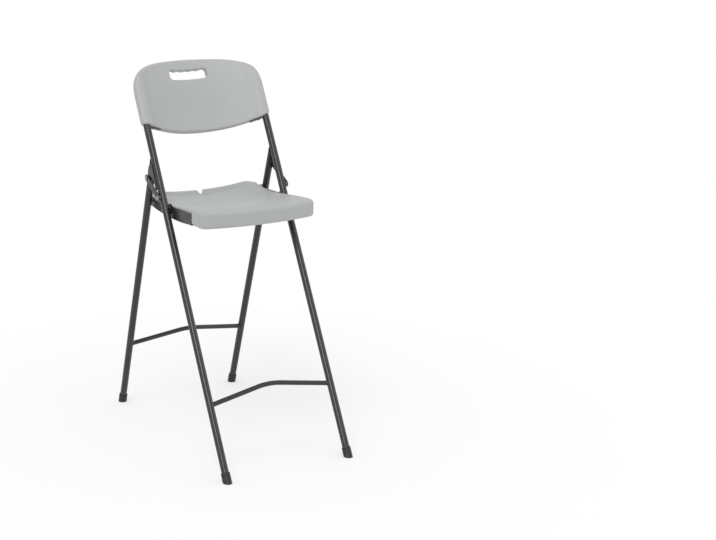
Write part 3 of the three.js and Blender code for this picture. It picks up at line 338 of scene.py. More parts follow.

# %% [markdown]
# ## The finishes
#
# Five finishes cover the stool. The tubes and plates are powder coated in dark grey: the
# coat is satin, with the slight orange-peel skin that baked powder has. The seat and the
# backrest are blow-moulded in light grey with a fine leather-like grain. Caps and plugs are
# plain black plastic, and the fasteners are plated steel that has gone a little dull.

# %% A helper for a finish with skin, tone, and a mask for wear and painted shade
SKIN_SIZE = 0.3 * MM
COAT_ROUGHNESS = 0.18


def finish(name, colour, wear_and_shade_colour, roughness, wear_and_shade_roughness, skin, skin_depth, tone, wear_and_shade_band,
           metallic=0.0, coat=0.0):
    material, tree, shader = new_material(name)

    def effect(group, values, output):
        node = add_node(tree, "ShaderNodeGroup", settings={"node_tree": group})
        feed(tree, node.inputs, enumerate(values))
        return node.outputs[output]

    toned = add_node(tree, "ShaderNodeMix",
                     {"Factor": 1, "A": (*colour, 1), "B": effect(slow_tone, tone, "Tone")},
                     {"data_type": "RGBA", "blend_type": "MULTIPLY"})
    # The mask blends in a second colour and roughness. On most finishes this is wear, and on the grey
    # plastic it is painted shade under the seat.
    mask = effect(rubbed, wear_and_shade_band, "Mask")
    worn_and_shaded = add_node(tree, "ShaderNodeMix",
                    {"Factor": mask, "A": toned.outputs["Result"], "B": (*wear_and_shade_colour, 1)},
                    {"data_type": "RGBA"})
    gloss = add(tree, "ShaderNodeMix", {"Factor": mask, "A": roughness, "B": wear_and_shade_roughness})
    bump = add(tree, "ShaderNodeBump", {
        "Height": effect(fine_skin, skin, "Height"), "Strength": skin_depth, "Distance": SKIN_SIZE})
    feed(tree, shader.inputs, {
        "Base Color": worn_and_shaded.outputs["Result"], "Roughness": gloss,
        "Normal": bump, "Metallic": metallic, "Coat Weight": coat,
        "Coat Roughness": COAT_ROUGHNESS})
    return material


def dress(mesh, slot):
    mesh.materials.clear()
    mesh.materials.append(finish_of_slot[slot])


# %% Mix the five finishes and dress the CAD meshes
powder_coat = finish(
    "dark powder coat", (0.012, 0.0122, 0.013), (0.12, 0.12, 0.12), 0.26, 0.5, coat=0.2,
    skin=(520, 1500, 0.35), skin_depth=0.12, tone=(14, 0.92, 1.06), wear_and_shade_band=(0.02, 0.3, 0.25))
plate_coat = finish(
    "powder coat on plate", (0.020, 0.0205, 0.022), (0.11, 0.11, 0.11), 0.38, 0.5, coat=0.1,
    skin=(420, 1300, 0.4), skin_depth=0.14, tone=(18, 0.9, 1.08), wear_and_shade_band=(0.6, 0.72, 0.1))
# Below 0.72 m the grey is painted darker. This is painted shade on the seat's underside and on the lower
# band of its front lip.
moulded_grey = finish(
    "moulded light grey", (0.407, 0.420, 0.418), (0.36, 0.37, 0.37), 0.52, 0.62,
    skin=(650, 1900, 0.45), skin_depth=0.22, tone=(6, 0.975, 1.02), wear_and_shade_band=(0.70, 0.72, 0.2))
moulded_black = finish(
    "moulded black", (0.012, 0.012, 0.013), (0.11, 0.11, 0.11), 0.5, 0.75,
    skin=(500, 1600, 0.5), skin_depth=0.2, tone=(20, 0.85, 1.15), wear_and_shade_band=(0.0, 0.012, 0.7))
dull_plating = finish(
    "dull plating", (0.30, 0.305, 0.31), (0.16, 0.16, 0.165), 0.36, 0.5, metallic=0.85,
    skin=(900, 2500, 0.6), skin_depth=0.08, tone=(60, 0.85, 1.1), wear_and_shade_band=(0.6, 0.9, 0.4))
finish_of_slot = {
    "tube_steel": powder_coat, "plate_steel": plate_coat, "fastener_steel": dull_plating,
    "grey_plastic": moulded_grey, "black_plastic": moulded_black,
}
slot_of_node = {entry["node"]: entry["material_slot"] for entry in frame["record"]["subparts"]}
for node, slot in slot_of_node.items():
    dress(frame["nodes"][node].data, slot)
print("finishes:", [material.name for material in finish_of_slot.values()])

# %% [markdown]
# ## Building with Geometry Nodes
#
# What repeats, or follows a path or a rule, is built by a node tree with named inputs. A
# tree only describes the piece, so it is evaluated once, and the plain mesh that comes out
# is kept. One helper starts a tree and one closes it with the finish. Others bake it, cut
# its mesh, and put the mesh in its place on the stool.

# %% Helpers for trees that build shapes
KINDS = {
    "length": "NodeSocketFloat", "count": "NodeSocketInt", "turn": "NodeSocketVector",
    "switch": "NodeSocketBool", "finish": "NodeSocketMaterial", "shape": "NodeSocketGeometry",
}


def start_tree(name, inputs):
    tree = bpy.data.node_groups.new(name, "GeometryNodeTree")
    for label, kind in [*inputs, ("Finish", "finish")]:
        tree.interface.new_socket(label, in_out="INPUT", socket_type=KINDS[kind])
    tree.interface.new_socket("Geometry", in_out="OUTPUT", socket_type="NodeSocketGeometry")
    return tree, add_node(tree, "NodeGroupInput").outputs


def close_tree(tree, given, geometry):
    whole = add(tree, "GeometryNodeRealizeInstances", {"Geometry": geometry})
    coated = add(tree, "GeometryNodeSetMaterial", {"Geometry": whole, "Material": given["Finish"]})
    add_node(tree, "NodeGroupOutput", {"Geometry": coated})
    return tree


# %% Helpers that bake a tree, cut a mesh and put a piece on the stool
def outward(mesh):
    shape = bmesh.new()
    shape.from_mesh(mesh)
    if shape.calc_volume(signed=True) < 0:
        bmesh.ops.reverse_faces(shape, faces=shape.faces)
        shape.to_mesh(mesh)
    shape.free()
    return mesh


def solid(points, faces):
    mesh = bpy.data.meshes.new("solid")
    mesh.from_pydata(points, [], faces)
    return outward(mesh)


def evaluated(mesh, *modifiers):
    """A modifier is given as its kind and its settings, and a node tree's with its inputs too."""
    work = new_object("work", mesh)
    for kind, settings, *inputs in modifiers:
        modifier = work.modifiers.new(kind.lower(), kind)
        for key, value in settings.items():
            setattr(modifier, key, value)
        for key, value in dict(*inputs).items():
            modifier[key] = value
    graph = bpy.context.evaluated_depsgraph_get()
    result = bpy.data.meshes.new_from_object(work.evaluated_get(graph))
    bpy.data.objects.remove(work)
    return result


def bake(tree, values, base=None):
    inputs = {item.identifier: values[item.name] for item in tree.interface.items_tree
              if item.in_out == "INPUT" and item.name in values}
    base = base or bpy.data.meshes.new("base")
    return outward(evaluated(base, ("NODES", {"node_group": tree}, inputs)))


def boolean(mesh, tool_mesh, operation):
    tool = new_object("tool", tool_mesh)
    result = evaluated(mesh, ("BOOLEAN", {"operation": operation, "solver": "EXACT", "object": tool}))
    bpy.data.objects.remove(tool)
    return result


def settle(name, mesh, body, nodes, sharp=35, slot=None):
    """Puts a mesh on the stool for the CAD nodes it replaces. An addition names its slot."""
    mesh.name = name
    mesh.shade_smooth()
    mesh.set_sharp_from_angle(angle=math.radians(sharp))
    piece = new_object(name, mesh)
    slot = slot or slot_of_node[nodes[0]]
    dress(mesh, slot)
    if nodes:
        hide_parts(*nodes)
    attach(piece, body)
    print(name, "replaces", len(nodes), "node(s),", len(mesh.polygons), "faces")


# %% [markdown]
# ## Tubes
#
# Each rail and leg is a welded steel tube, 22 mm across with a thin wall. A tube is one
# closed section carried round a circle, so the tree sweeps a thin tall rectangle round its
# axis and gets both walls and both end rings at once. Short pins then cut the holes that the
# rivets pass through. A pin set below the tube cuts nothing. The top of a leg is cut at a
# slant, along the rail that it stands behind, so it runs up until the rail hides it.

# %% A tree for a tube with rivet holes
TUBE_SIDES, PIN_SIDES, PIN_LENGTH = 56, 24, 14 * MM


def make_tube_tree():
    tree, given = start_tree("drilled tube", [
        ("Outer Radius", "length"), ("Wall", "length"), ("Bottom", "length"), ("Top", "length"),
        ("Outboard Hole Height", "length"), ("Inboard Hole Height", "length"),
        ("Back Hole Height", "length"), ("Rivet Hole Radius", "length"),
        ("Screw Hole Radius", "length")])
    middle = maths(tree, "MULTIPLY", maths(tree, "ADD", given["Bottom"], given["Top"]), 0.5)
    length = maths(tree, "SUBTRACT", given["Top"], given["Bottom"])
    axis_radius = maths(tree, "SUBTRACT", given["Outer Radius"],
                        maths(tree, "MULTIPLY", given["Wall"], 0.5))
    path = add(tree, "GeometryNodeCurvePrimitiveCircle",
               {"Radius": axis_radius, "Resolution": TUBE_SIDES})
    level = add(tree, "GeometryNodeSetCurveNormal", {"Curve": path}, {"mode": "Z_UP"})
    section = add(tree, "GeometryNodeCurvePrimitiveQuadrilateral",
                  {"Width": given["Wall"], "Height": length})
    wall = add(tree, "GeometryNodeCurveToMesh", {"Curve": level, "Profile Curve": section})
    placed = add(tree, "GeometryNodeTransform",
                 {"Geometry": wall, "Translation": vector(tree, Z=middle)})

    def pin(label, radius_label, turn, x, y):
        drill = add(tree, "GeometryNodeMeshCylinder",
                    {"Radius": given[radius_label], "Vertices": PIN_SIDES, "Depth": PIN_LENGTH})
        centre = vector(tree, X=x, Y=y, Z=given[label])
        return add(tree, "GeometryNodeTransform",
                   {"Geometry": drill, "Translation": centre, "Rotation": turn})

    across, backward = (0, math.radians(90), 0), (math.radians(90), 0, 0)
    cut = add_node(tree, "GeometryNodeMeshBoolean", {"Mesh 1": placed},
                   {"operation": "DIFFERENCE", "solver": "EXACT"})
    for tool in (
        pin("Outboard Hole Height", "Rivet Hole Radius", across, TUBE_RADIUS, 0),
        pin("Inboard Hole Height", "Rivet Hole Radius", across, -TUBE_RADIUS, 0),
        pin("Back Hole Height", "Screw Hole Radius", backward, 0, TUBE_RADIUS),
    ):
        tree.links.new(tool, cut.inputs["Mesh 2"])
    return close_tree(tree, given, cut.outputs["Mesh"])


tube_tree = make_tube_tree()

# %% Places on the tubes, and helpers for both sides
BACK_RISE = 503.4
LINK_ON_RAIL = along_rail(765 * MM)
SEAT_ON_RAIL = along_rail(726 * MM)
LINK_ON_LEG = along_leg(812 * MM)
BACK_SCREW_ON_RAIL = SEAT_ON_RAIL + (BACK_RISE - 150) * MM
UNUSED = -200 * MM
BESIDE_STOOL = 0.3


def box_mesh(y_range, z_range, place):
    """A box wider than the stool, in the axes of a leaning frame. It serves as a cutter."""
    corners = [(x, y, z) for x in (-BESIDE_STOOL, BESIDE_STOOL) for y in y_range for z in z_range]
    mesh = solid(corners, [
        (0, 1, 3, 2), (4, 6, 7, 5), (0, 4, 5, 1), (2, 3, 7, 6), (0, 2, 6, 4), (1, 5, 7, 3)])
    mesh.transform(place)
    return mesh


def mirror_if_right(mesh, side):
    if side < 0:
        mesh.transform(Matrix.Scale(-1, 4, (1, 0, 0)))
        mesh.flip_normals()


def local_box(node, place):
    """Low and high corner of a CAD node in the axes of a leaning frame."""
    to_local = place.inverted()
    points = [to_local @ vertex.co for vertex in frame["nodes"][node].data.vertices]
    return [Vector([pick(point[axis] for point in points) for axis in range(3)]) for pick in (min, max)]


# %% Rails and legs
LEG_TOP_GAP = 13 * MM
LEG_SPARE = 30 * MM
ABOVE_LEGS = (0.9, 1.2)
for side_name, side in SIDES:
    for node, place, body, holes in (
        (f"rail_{side_name}", on_rails, "front_frame", (LINK_ON_RAIL, SEAT_ON_RAIL, BACK_SCREW_ON_RAIL)),
        (f"rear_leg_{side_name}", on_legs, "rear_legs", (LINK_ON_LEG, UNUSED, UNUSED)),
    ):
        bottom, top = (corner.z for corner in local_box(node, place))
        if body == "rear_legs":
            top += LEG_SPARE
        mesh = bake(tube_tree, {
            "Outer Radius": TUBE_RADIUS, "Wall": 1.5 * MM, "Bottom": bottom, "Top": top,
            "Outboard Hole Height": holes[0], "Inboard Hole Height": holes[1],
            "Back Hole Height": holes[2], "Rivet Hole Radius": 4 * MM,
            "Screw Hole Radius": 2.3 * MM, "Finish": powder_coat})
        mesh.transform(Matrix.Translation((HALF_SPACING, 0, 0)))
        mirror_if_right(mesh, side)
        mesh.transform(place)
        if body == "rear_legs":
            mesh = boolean(mesh, box_mesh((-0.2, LEG_TOP_GAP), ABOVE_LEGS, on_rails), "DIFFERENCE")
        settle(f"{node}_tube", mesh, body, [node])

# %% [markdown]
# ## Foot bars
#
# A thinner tube joins the rails near the floor, and another joins the legs. Each rises to a
# soft bend in the middle, so it is a line of three points whose middle corner is rounded,
# with a circle swept along it. The ends stop against the tubes, where a weld holds them.


# %% A tree for a bowed bar
def make_bar_tree():
    tree, given = start_tree("bowed bar", [
        ("Half Length", "length"), ("Rise", "length"), ("Bend Radius", "length"),
        ("Bar Radius", "length")])
    left_end = vector(tree, X=maths(tree, "MULTIPLY", given["Half Length"], -1))
    line = add(tree, "GeometryNodeMeshLine", {
        "Start Location": left_end, "Offset": vector(tree, X=given["Half Length"]), "Count": 3,
    }, {"mode": "OFFSET"})
    index = add(tree, "GeometryNodeInputIndex")
    in_middle = add(tree, "FunctionNodeCompare", {2: index, 3: 1},
                    {"data_type": "INT", "operation": "EQUAL"})
    raised = add(tree, "GeometryNodeSetPosition",
                 {"Geometry": line, "Selection": in_middle, "Offset": vector(tree, Z=given["Rise"])})
    curve = add(tree, "GeometryNodeMeshToCurve", {"Mesh": raised})
    bend = add(tree, "GeometryNodeFilletCurve",
               {"Curve": curve, "Radius": given["Bend Radius"], "Count": 24}, {"mode": "POLY"})
    round_section = add(tree, "GeometryNodeCurvePrimitiveCircle",
                        {"Radius": given["Bar Radius"], "Resolution": 40})
    swept = add(tree, "GeometryNodeCurveToMesh",
                {"Curve": bend, "Profile Curve": round_section, "Fill Caps": True})
    return close_tree(tree, given, swept)


bar_tree = make_bar_tree()

# %% Both foot bars
BAR_RADIUS = 7.3 * MM
INTO_TUBE = 0.2 * MM
FRONT_BAR_PLACE = (on_rails, "front_frame", along_rail(200.6 * MM))
REAR_BAR_PLACE = (on_legs, "rear_legs", along_leg(221.5 * MM))
for name, node, (place, body, height), rise in (
    ("front_bar", "front_foot_bar", FRONT_BAR_PLACE, 36 * MM),
    ("rear_bar", "rear_foot_bar", REAR_BAR_PLACE, 29.5 * MM),
):
    reach = HALF_SPACING - math.sqrt(TUBE_RADIUS ** 2 - BAR_RADIUS ** 2) + INTO_TUBE
    mesh = bake(bar_tree, {
        "Half Length": reach, "Rise": rise * reach / HALF_SPACING, "Bend Radius": 230 * MM,
        "Bar Radius": BAR_RADIUS, "Finish": powder_coat})
    mesh.transform(place @ Matrix.Translation((0, 0, height + rise * (1 - reach / HALF_SPACING))))
    settle(name, mesh, body, [node], sharp=60)

# %% [markdown]
# ## Weld beads
#
# A bar is welded to a tube all round, and the coat runs over the bead. The joint's line is
# where a small cylinder meets a larger one: going round the bar, the line moves in and out as
# the tube's wall curves away. The tree bends a circle by that rule and sweeps a small,
# slightly rippled section along it.


# %% A tree for the weld between a bar and a tube
def make_weld_tree():
    tree, given = start_tree("weld bead", [
        ("Bar Radius", "length"), ("Tube Radius", "length"), ("Bead Radius", "length"),
        ("Ripples", "count"), ("Ripple Height", "length")])
    ring = add(tree, "GeometryNodeCurvePrimitiveCircle",
               {"Radius": given["Bar Radius"], "Resolution": 72})
    here = add_node(tree, "ShaderNodeSeparateXYZ", {"Vector": add(tree, "GeometryNodeInputPosition")})
    inside = maths(tree, "SUBTRACT", maths(tree, "POWER", given["Tube Radius"], 2),
                   maths(tree, "POWER", here.outputs["Y"], 2))
    line = vector(tree, X=maths(tree, "SQRT", inside), Y=here.outputs["Y"], Z=here.outputs["X"])
    joint = add(tree, "GeometryNodeSetPosition", {"Geometry": ring, "Position": line})
    share = add(tree, "GeometryNodeSplineParameter")
    turn = maths(tree, "MULTIPLY", share, 2 * math.pi)
    wave = maths(tree, "SINE", maths(tree, "MULTIPLY", turn, given["Ripples"]))
    swell = maths(tree, "ADD", maths(tree, "MULTIPLY", wave, given["Ripple Height"]), 1)
    section = add(tree, "GeometryNodeCurvePrimitiveCircle",
                  {"Radius": given["Bead Radius"], "Resolution": 10})
    bead = add(tree, "GeometryNodeCurveToMesh",
               {"Curve": joint, "Profile Curve": section, "Scale": swell})
    return close_tree(tree, given, bead)


weld_tree = make_weld_tree()

# %% Four weld beads, two on each bar
BAR_SLOPE_AT_TUBE = 1.9 * MM
for name, (place, body, height) in (
    ("front_bar_welds", FRONT_BAR_PLACE), ("rear_bar_welds", REAR_BAR_PLACE),
):
    joined = bmesh.new()
    for _, side in SIDES:
        bead = bake(weld_tree, {
            "Bar Radius": BAR_RADIUS, "Tube Radius": TUBE_RADIUS, "Bead Radius": 1.3 * MM,
            "Ripples": 17, "Ripple Height": 0.14, "Finish": powder_coat})
        bead.transform(Matrix.Translation((-HALF_SPACING, 0, 0)))
        mirror_if_right(bead, -side)
        bead.transform(place @ Matrix.Translation((0, 0, height + BAR_SLOPE_AT_TUBE)))
        joined.from_mesh(bead)
    mesh = bpy.data.meshes.new(name)
    joined.to_mesh(mesh)
    joined.free()
    settle(name, mesh, body, [], sharp=180, slot="tube_steel")

# %% [markdown]
# ## Turned pieces: rivets, washers, bushes, studs, screws and caps
#
# These all have one section turned about an axis. The section is drawn as a few points of
# radius and height, and a tree turns it and sets copies in rows. On the right-hand side of
# the stool a copy faces the other way, so the tree turns it half round when asked.


# %% A tree that turns a section and sets it in rows
def make_turned_tree():
    tree, given = start_tree("turned in rows", [
        ("Section", "shape"), ("Sides", "count"), ("Facing", "turn"), ("Columns", "count"),
        ("Column Step", "length"), ("Rows", "count"), ("Row Step", "length"),
        ("Turn Right Side", "switch")])
    profile = add(tree, "GeometryNodeMeshToCurve", {"Mesh": given["Section"]})
    shifted = add(tree, "GeometryNodeTransform", {"Geometry": profile, "Translation": (-1, 0, 0)})
    circle = add(tree, "GeometryNodeCurvePrimitiveCircle", {"Resolution": given["Sides"], "Radius": 1})
    level = add(tree, "GeometryNodeSetCurveNormal", {"Curve": circle}, {"mode": "Z_UP"})
    spun = add(tree, "GeometryNodeCurveToMesh", {"Curve": level, "Profile Curve": shifted})
    closed = add(tree, "GeometryNodeMergeByDistance", {"Geometry": spun, "Distance": 0.005 * MM})
    facing = add(tree, "GeometryNodeTransform", {"Geometry": closed, "Rotation": given["Facing"]})

    def row(count, step, axis):
        last = maths(tree, "SUBTRACT", count, 1)
        start = maths(tree, "MULTIPLY", maths(tree, "MULTIPLY", last, step), -0.5)
        return add(tree, "GeometryNodeMeshLine", {
            "Count": count, "Start Location": vector(tree, **{axis: start}),
            "Offset": vector(tree, **{axis: step})}, {"mode": "OFFSET"})

    rows = add(tree, "GeometryNodeInstanceOnPoints",
               {"Points": row(given["Columns"], given["Column Step"], "X"),
                "Instance": row(given["Rows"], given["Row Step"], "Y")})
    places = add(tree, "GeometryNodeRealizeInstances", {"Geometry": rows})
    here = add_node(tree, "ShaderNodeSeparateXYZ", {"Vector": add(tree, "GeometryNodeInputPosition")})
    on_right = maths(tree, "LESS_THAN", here.outputs["X"], 0)
    wanted = maths(tree, "MULTIPLY", on_right, given["Turn Right Side"])
    half_turn = vector(tree, Z=maths(tree, "MULTIPLY", wanted, math.pi))
    rotation = add(tree, "FunctionNodeEulerToRotation", {"Euler": half_turn})
    copies = add(tree, "GeometryNodeInstanceOnPoints",
                 {"Points": places, "Instance": facing, "Rotation": rotation})
    return close_tree(tree, given, copies)


turned_tree = make_turned_tree()
OUTBOARD = (0, math.radians(90), 0)
BACKWARD = (math.radians(-90), 0, 0)
DOWNWARD = (math.radians(180), 0, 0)
UPWARD = (0, 0, 0)


def section(points, ring=False):
    """Points are (radius, height) in millimetres. A ring's section is closed on itself."""
    mesh = bpy.data.meshes.new("section")
    edges = [(i, i + 1) for i in range(len(points) - 1)]
    if ring:
        edges.append((len(points) - 1, 0))
    mesh.from_pydata([(radius * MM, -height * MM, 0) for radius, height in points], edges, [])
    return mesh


def turned(name, points, place, body, nodes, facing=OUTBOARD, columns=2, column_step=2 * HALF_SPACING,
           rows=1, row_step=0.0, ring=False, sides=40, turn_right=True):
    mesh = bake(turned_tree, {
        "Sides": sides, "Facing": facing, "Columns": columns, "Column Step": column_step,
        "Rows": rows, "Row Step": row_step, "Turn Right Side": turn_right,
        "Finish": finish_of_slot[slot_of_node[nodes[0]]],
    }, section(points, ring))
    mesh.transform(place)
    settle(name, mesh, body, nodes)


def pair(node):
    return [f"{node}_left", f"{node}_right"]


# %% Rivets and washers at both ends of the links
# Heights are measured outward from the tube's axis. A washer, the link and the rivet's head
# lie in layers beside the tube, with a small gap between them.
GAP, WASHER, LINK = 0.3, 2.5, 3
ON_TUBE = 11 + GAP
ON_WASHER = ON_TUBE + WASHER + GAP
ON_LINK = ON_WASHER + LINK + GAP
SHANK, SHANK_FOOT = 3.7, 4.6
rivet_head = [(6.5, 0), (6.8, 0.3), (6.75, 0.8), (6.3, 1.5), (5.3, 2.1), (3.8, 2.5), (2, 2.68), (0, 2.7)]
rivet_section = [(0, 4.1), (3.2, 4.1), (SHANK_FOOT, 5.7), (SHANK_FOOT, 8.1), (SHANK, 8.1), (SHANK, ON_LINK)]
rivet_section += [(radius, ON_LINK + height) for radius, height in rivet_head]
washer_section = [(radius, ON_TUBE + height) for radius, height in (
    (4.0, 0), (7.7, 0), (8.0, 0.3), (8.0, 2.2), (7.7, WASHER), (4.0, WASHER))]
for end, place, height, body in (
    ("rail", on_rails, LINK_ON_RAIL, "front_frame"), ("leg", on_legs, LINK_ON_LEG, "rear_legs"),
):
    at = place @ Matrix.Translation((0, 0, height))
    turned(f"link_{end}_rivets", rivet_section, at, body, pair(f"link_{end}_rivet"))
    turned(f"link_{end}_washers", washer_section, at, body, pair(f"link_{end}_washer"), ring=True)


# %% Seat rivets, bushes and rear studs, measured outward from the stool's middle
def middle_of(node):
    low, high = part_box(node)
    return (low + high) / 2


def axis_of(node):
    return Matrix.Translation((0, *middle_of(node)[1:]))


MIRRORED = 0.2 * MM
inner_head = [(0, 187.6), (4.6, 187.6), (6.2, 188.0), (7.0, 189.2), (7.0, 190.2), (SHANK, 190.2)]
seat_rivet_section = [*inner_head, (SHANK, 197.9), (SHANK_FOOT, 197.9), (SHANK_FOOT, 200.3), (3.2, 201.9),
                      (0, 201.9)]
bush_section = [(4.0, 192.8), (8.0, 192.8), (8.0, 194.7), (4.0, 194.7)]
stud_section = [*inner_head, (SHANK, 192.8), (8.0, 192.8), (8.0, 194.4), (7.6, 194.7), (0, 194.7)]
for name, points, node, ring in (
    ("seat_rivets", seat_rivet_section, "seat_rivet", False),
    ("seat_bushes", bush_section, "seat_bush", True),
    ("leg_studs", stud_section, "leg_stud", False),
):
    place = axis_of("leg_stud_left" if node == "leg_stud" else "seat_rivet_left")
    turned(name, points, place, "seat", pair(node), column_step=MIRRORED, ring=ring)

# %% Screws under the seat, behind the backrest and under its tabs
# The backrest's lower edge is nearly straight in the middle and rises at both ends. The
# pieces under it are lifted by what this edge lies above the CAD's.
BACK_HALF, BACK_BOTTOM, CORNER_RISE = 220.4, 1083.5, 20
CAD_BACK_HALF, CAD_BACK_BOTTOM, CAD_CORNER_RISE = 212, 1085.74, 2.4
SCREW_HEAD = 2
BEHIND_RAIL = 13.1 * MM


def lower_edge(x):
    return BACK_BOTTOM + CORNER_RISE * (abs(x) / BACK_HALF) ** 3.5


def edge_lift(x):
    return lower_edge(x) - (CAD_BACK_BOTTOM + CAD_CORNER_RISE * (x / CAD_BACK_HALF) ** 2)


def screw_section(length):
    return [(0, -length), (1, -length), (2, -length + 2), (2, 0), (4.3, 0), (4.6, 0.25), (4.5, 0.9),
            (3.7, 1.6), (2.2, 1.95), (0, SCREW_HEAD)]


def screws(name, length, place, body, nodes, facing, **rows):
    turned(name, screw_section(length), place, body, nodes, facing, sides=24, turn_right=False, **rows)


first, last = middle_of("seat_screw_1"), middle_of("seat_screw_4")
head_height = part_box("seat_screw_1")[0].z + SCREW_HEAD * MM
screws("seat_screws", 10, Matrix.Translation((0, (first.y + last.y) / 2, head_height)), "seat",
       [f"seat_screw_{number}" for number in (1, 2, 3, 4)], DOWNWARD,
       column_step=abs(first.x) * 2, rows=2, row_step=abs(last.y - first.y))
screws("back_rail_screws", 6, on_rails @ Matrix.Translation((0, BEHIND_RAIL, BACK_SCREW_ON_RAIL)),
       "front_frame", pair("back_rail_screw"), BACKWARD)
low, high = local_box("back_bracket_screw_left", on_rails)
screw_lift = edge_lift((low.x + high.x) / 2 / MM) * MM
screws("back_bracket_screws", 11,
       on_rails @ Matrix.Translation((0, (low.y + high.y) / 2, low.z + SCREW_HEAD * MM + screw_lift)),
       "front_frame", pair("back_bracket_screw"), DOWNWARD, column_step=low.x + high.x)

# %% [markdown]
# ## Plugs and foot caps
#
# A thin plug closes the slanted top of each leg. It is a slice of a round bar, cut along the
# same slant. A cap covers the end of each tube at the floor. It is turned like the other
# pieces, with two shallow rings round its mouth. It leans with its tube, so its bottom is cut
# level afterwards, where it stands on the floor.

# %% Plugs that close the slanted tops of the legs
PLUG_RADIUS = TUBE_RADIUS - 0.2 * MM
PLUG_HEIGHT = along_leg(862 * MM)


def slanted_plug(side):
    shape = bmesh.new()
    bmesh.ops.create_cone(shape, cap_ends=True, segments=48, radius1=PLUG_RADIUS,
                          radius2=PLUG_RADIUS, depth=160 * MM)
    mesh = bpy.data.meshes.new("plug")
    shape.to_mesh(mesh)
    shape.free()
    mesh.transform(on_legs @ Matrix.Translation((side * HALF_SPACING, 0, PLUG_HEIGHT)))
    slice_box = box_mesh((LEG_TOP_GAP - 1.4 * MM, LEG_TOP_GAP + 0.1 * MM), ABOVE_LEGS, on_rails)
    return boolean(mesh, slice_box, "INTERSECT")


for side_name, side in SIDES:
    settle(f"leg_plug_{side_name}_moulded", slanted_plug(side), "rear_legs", [f"leg_plug_{side_name}"])


# %% Foot caps, cut level at the floor
def cap_section(lean):
    outer, groove, bore = CAP_OUTER, CAP_OUTER - 0.5, 11.3
    floor, lowest = (4 + bore * math.sin(lean)) / math.cos(lean), -outer * math.tan(lean) - 4
    rings = [(radius, start + height) for start in (20.5, 24.1)
             for radius, height in ((outer, 0), (groove, 0.4), (groove, 1.4), (outer, 1.8))]
    return [(0, lowest), (outer, lowest), *rings, (outer, 28), (13.2, 29.2), (12.4, 29.9),
            (11.9, 30), (bore, 29.6), (bore, floor), (0, floor)]


def level_at_floor(mesh):
    shape = bmesh.new()
    shape.from_mesh(mesh)
    everything = shape.verts[:] + shape.edges[:] + shape.faces[:]
    bmesh.ops.bisect_plane(shape, geom=everything, plane_co=(0, 0, 0), plane_no=(0, 0, 1), clear_inner=True)
    rim = [edge for edge in shape.edges if edge.is_boundary]
    bmesh.ops.edgeloop_fill(shape, edges=rim)
    bmesh.ops.recalc_face_normals(shape, faces=shape.faces)
    shape.to_mesh(mesh)
    shape.free()


for name, place, body, lean in (
    ("front_foot_cap", on_rails, "front_frame", RAIL_LEAN),
    ("rear_foot_cap", on_legs, "rear_legs", LEG_LEAN),
):
    for side_name, side in SIDES:
        mesh = bake(turned_tree, {
            "Sides": 64, "Facing": UPWARD, "Columns": 1, "Column Step": 0.0, "Rows": 1, "Row Step": 0.0,
            "Turn Right Side": False, "Finish": moulded_black}, section(cap_section(lean)))
        mesh.transform(place @ Matrix.Translation((side * HALF_SPACING, 0, 0)))
        level_at_floor(mesh)
        settle(f"{name}_{side_name}_moulded", mesh, body, [f"{name}_{side_name}"])

# %% [markdown]
# ## Pressed plates
#
# Gussets, links, side channels, cross braces and the tabs under the backrest are cut and
# bent from sheet. The CAD outlines are nearly right, but sheet never has knife-sharp edges,
# and it is the small round on an edge that catches the light. Each plate is a copy of its CAD
# mesh with its loose triangles merged and its edges rounded by a fraction of a millimetre.
# Three kinds are then trimmed: a tab follows the backrest's lower edge, a gusset ends at the
# middle of its leg, and a channel's rear ear stays low.

# %% Plates with softened edges
GUSSET_END, GUSSET_REACH = 0.0005, (0.5, 1.2)
EAR_START, EAR_TOP = front_line + 0.5, 0.7445


def softened(node, body, change=None):
    shape = bmesh.new()
    shape.from_mesh(frame["nodes"][node].data)
    bmesh.ops.remove_doubles(shape, verts=shape.verts, dist=0.004 * MM)
    bmesh.ops.dissolve_limit(shape, angle_limit=math.radians(1), verts=shape.verts, edges=shape.edges)
    sharp = [e for e in shape.edges if len(e.link_faces) == 2 and e.calc_face_angle(0) > math.radians(30)]
    bmesh.ops.bevel(shape, geom=sharp, offset=0.35 * MM, segments=2, profile=0.5, affect="EDGES",
                    clamp_overlap=True)
    mesh = bpy.data.meshes.new(node)
    shape.to_mesh(mesh)
    shape.free()
    settle(f"{node}_pressed", change(mesh) if change else mesh, body, [node], sharp=50)


def ended_at_leg_axis(mesh):
    return boolean(mesh, box_mesh((GUSSET_END, 0.06), GUSSET_REACH, on_legs), "DIFFERENCE")


def low_at_rear(mesh):
    rear_box = box_mesh((EAR_START, EAR_START + 0.2), (EAR_TOP, 0.85), Matrix())
    return boolean(mesh, rear_box, "DIFFERENCE")


def lifted_with_edge(mesh):
    to_rails = on_rails.inverted()
    for vertex in mesh.vertices:
        place = to_rails @ vertex.co
        place.z += edge_lift(place.x / MM) * MM
        vertex.co = on_rails @ place
    return mesh


for side_name, _ in SIDES:
    softened(f"gusset_{side_name}", "front_frame", ended_at_leg_axis)
    softened(f"back_bracket_{side_name}", "front_frame", lifted_with_edge)
    softened(f"link_{side_name}", f"link_arm_{side_name}")
    softened(f"seat_channel_{side_name}", "seat", low_at_rear)
softened("seat_brace_front", "seat")
softened("seat_brace_rear", "seat")

# %% [markdown]
# ## Moulded panels
#
# The seat and the backrest are blow-moulded: air presses a soft plastic tube against the
# inside of a mould, so every edge comes out generously rounded and every opening has a soft
# rim. A panel is built as rings, from the middle of its face over the edge to the middle of
# its back. The hand slot or the notch is then cut out. A fine voxel remesh followed by
# smoothing turns the cut's sharp rim into the soft one that moulding gives.


# %% Build a padded panel from rings
def smooth_step(value, low, high):
    share = min(max((value - low) / (high - low), 0), 1)
    return share * share * (3 - 2 * share)


def inset_point(point, centre, distance):
    spoke = point - centre
    return centre + spoke * max(1 - distance / spoke.length, 0)


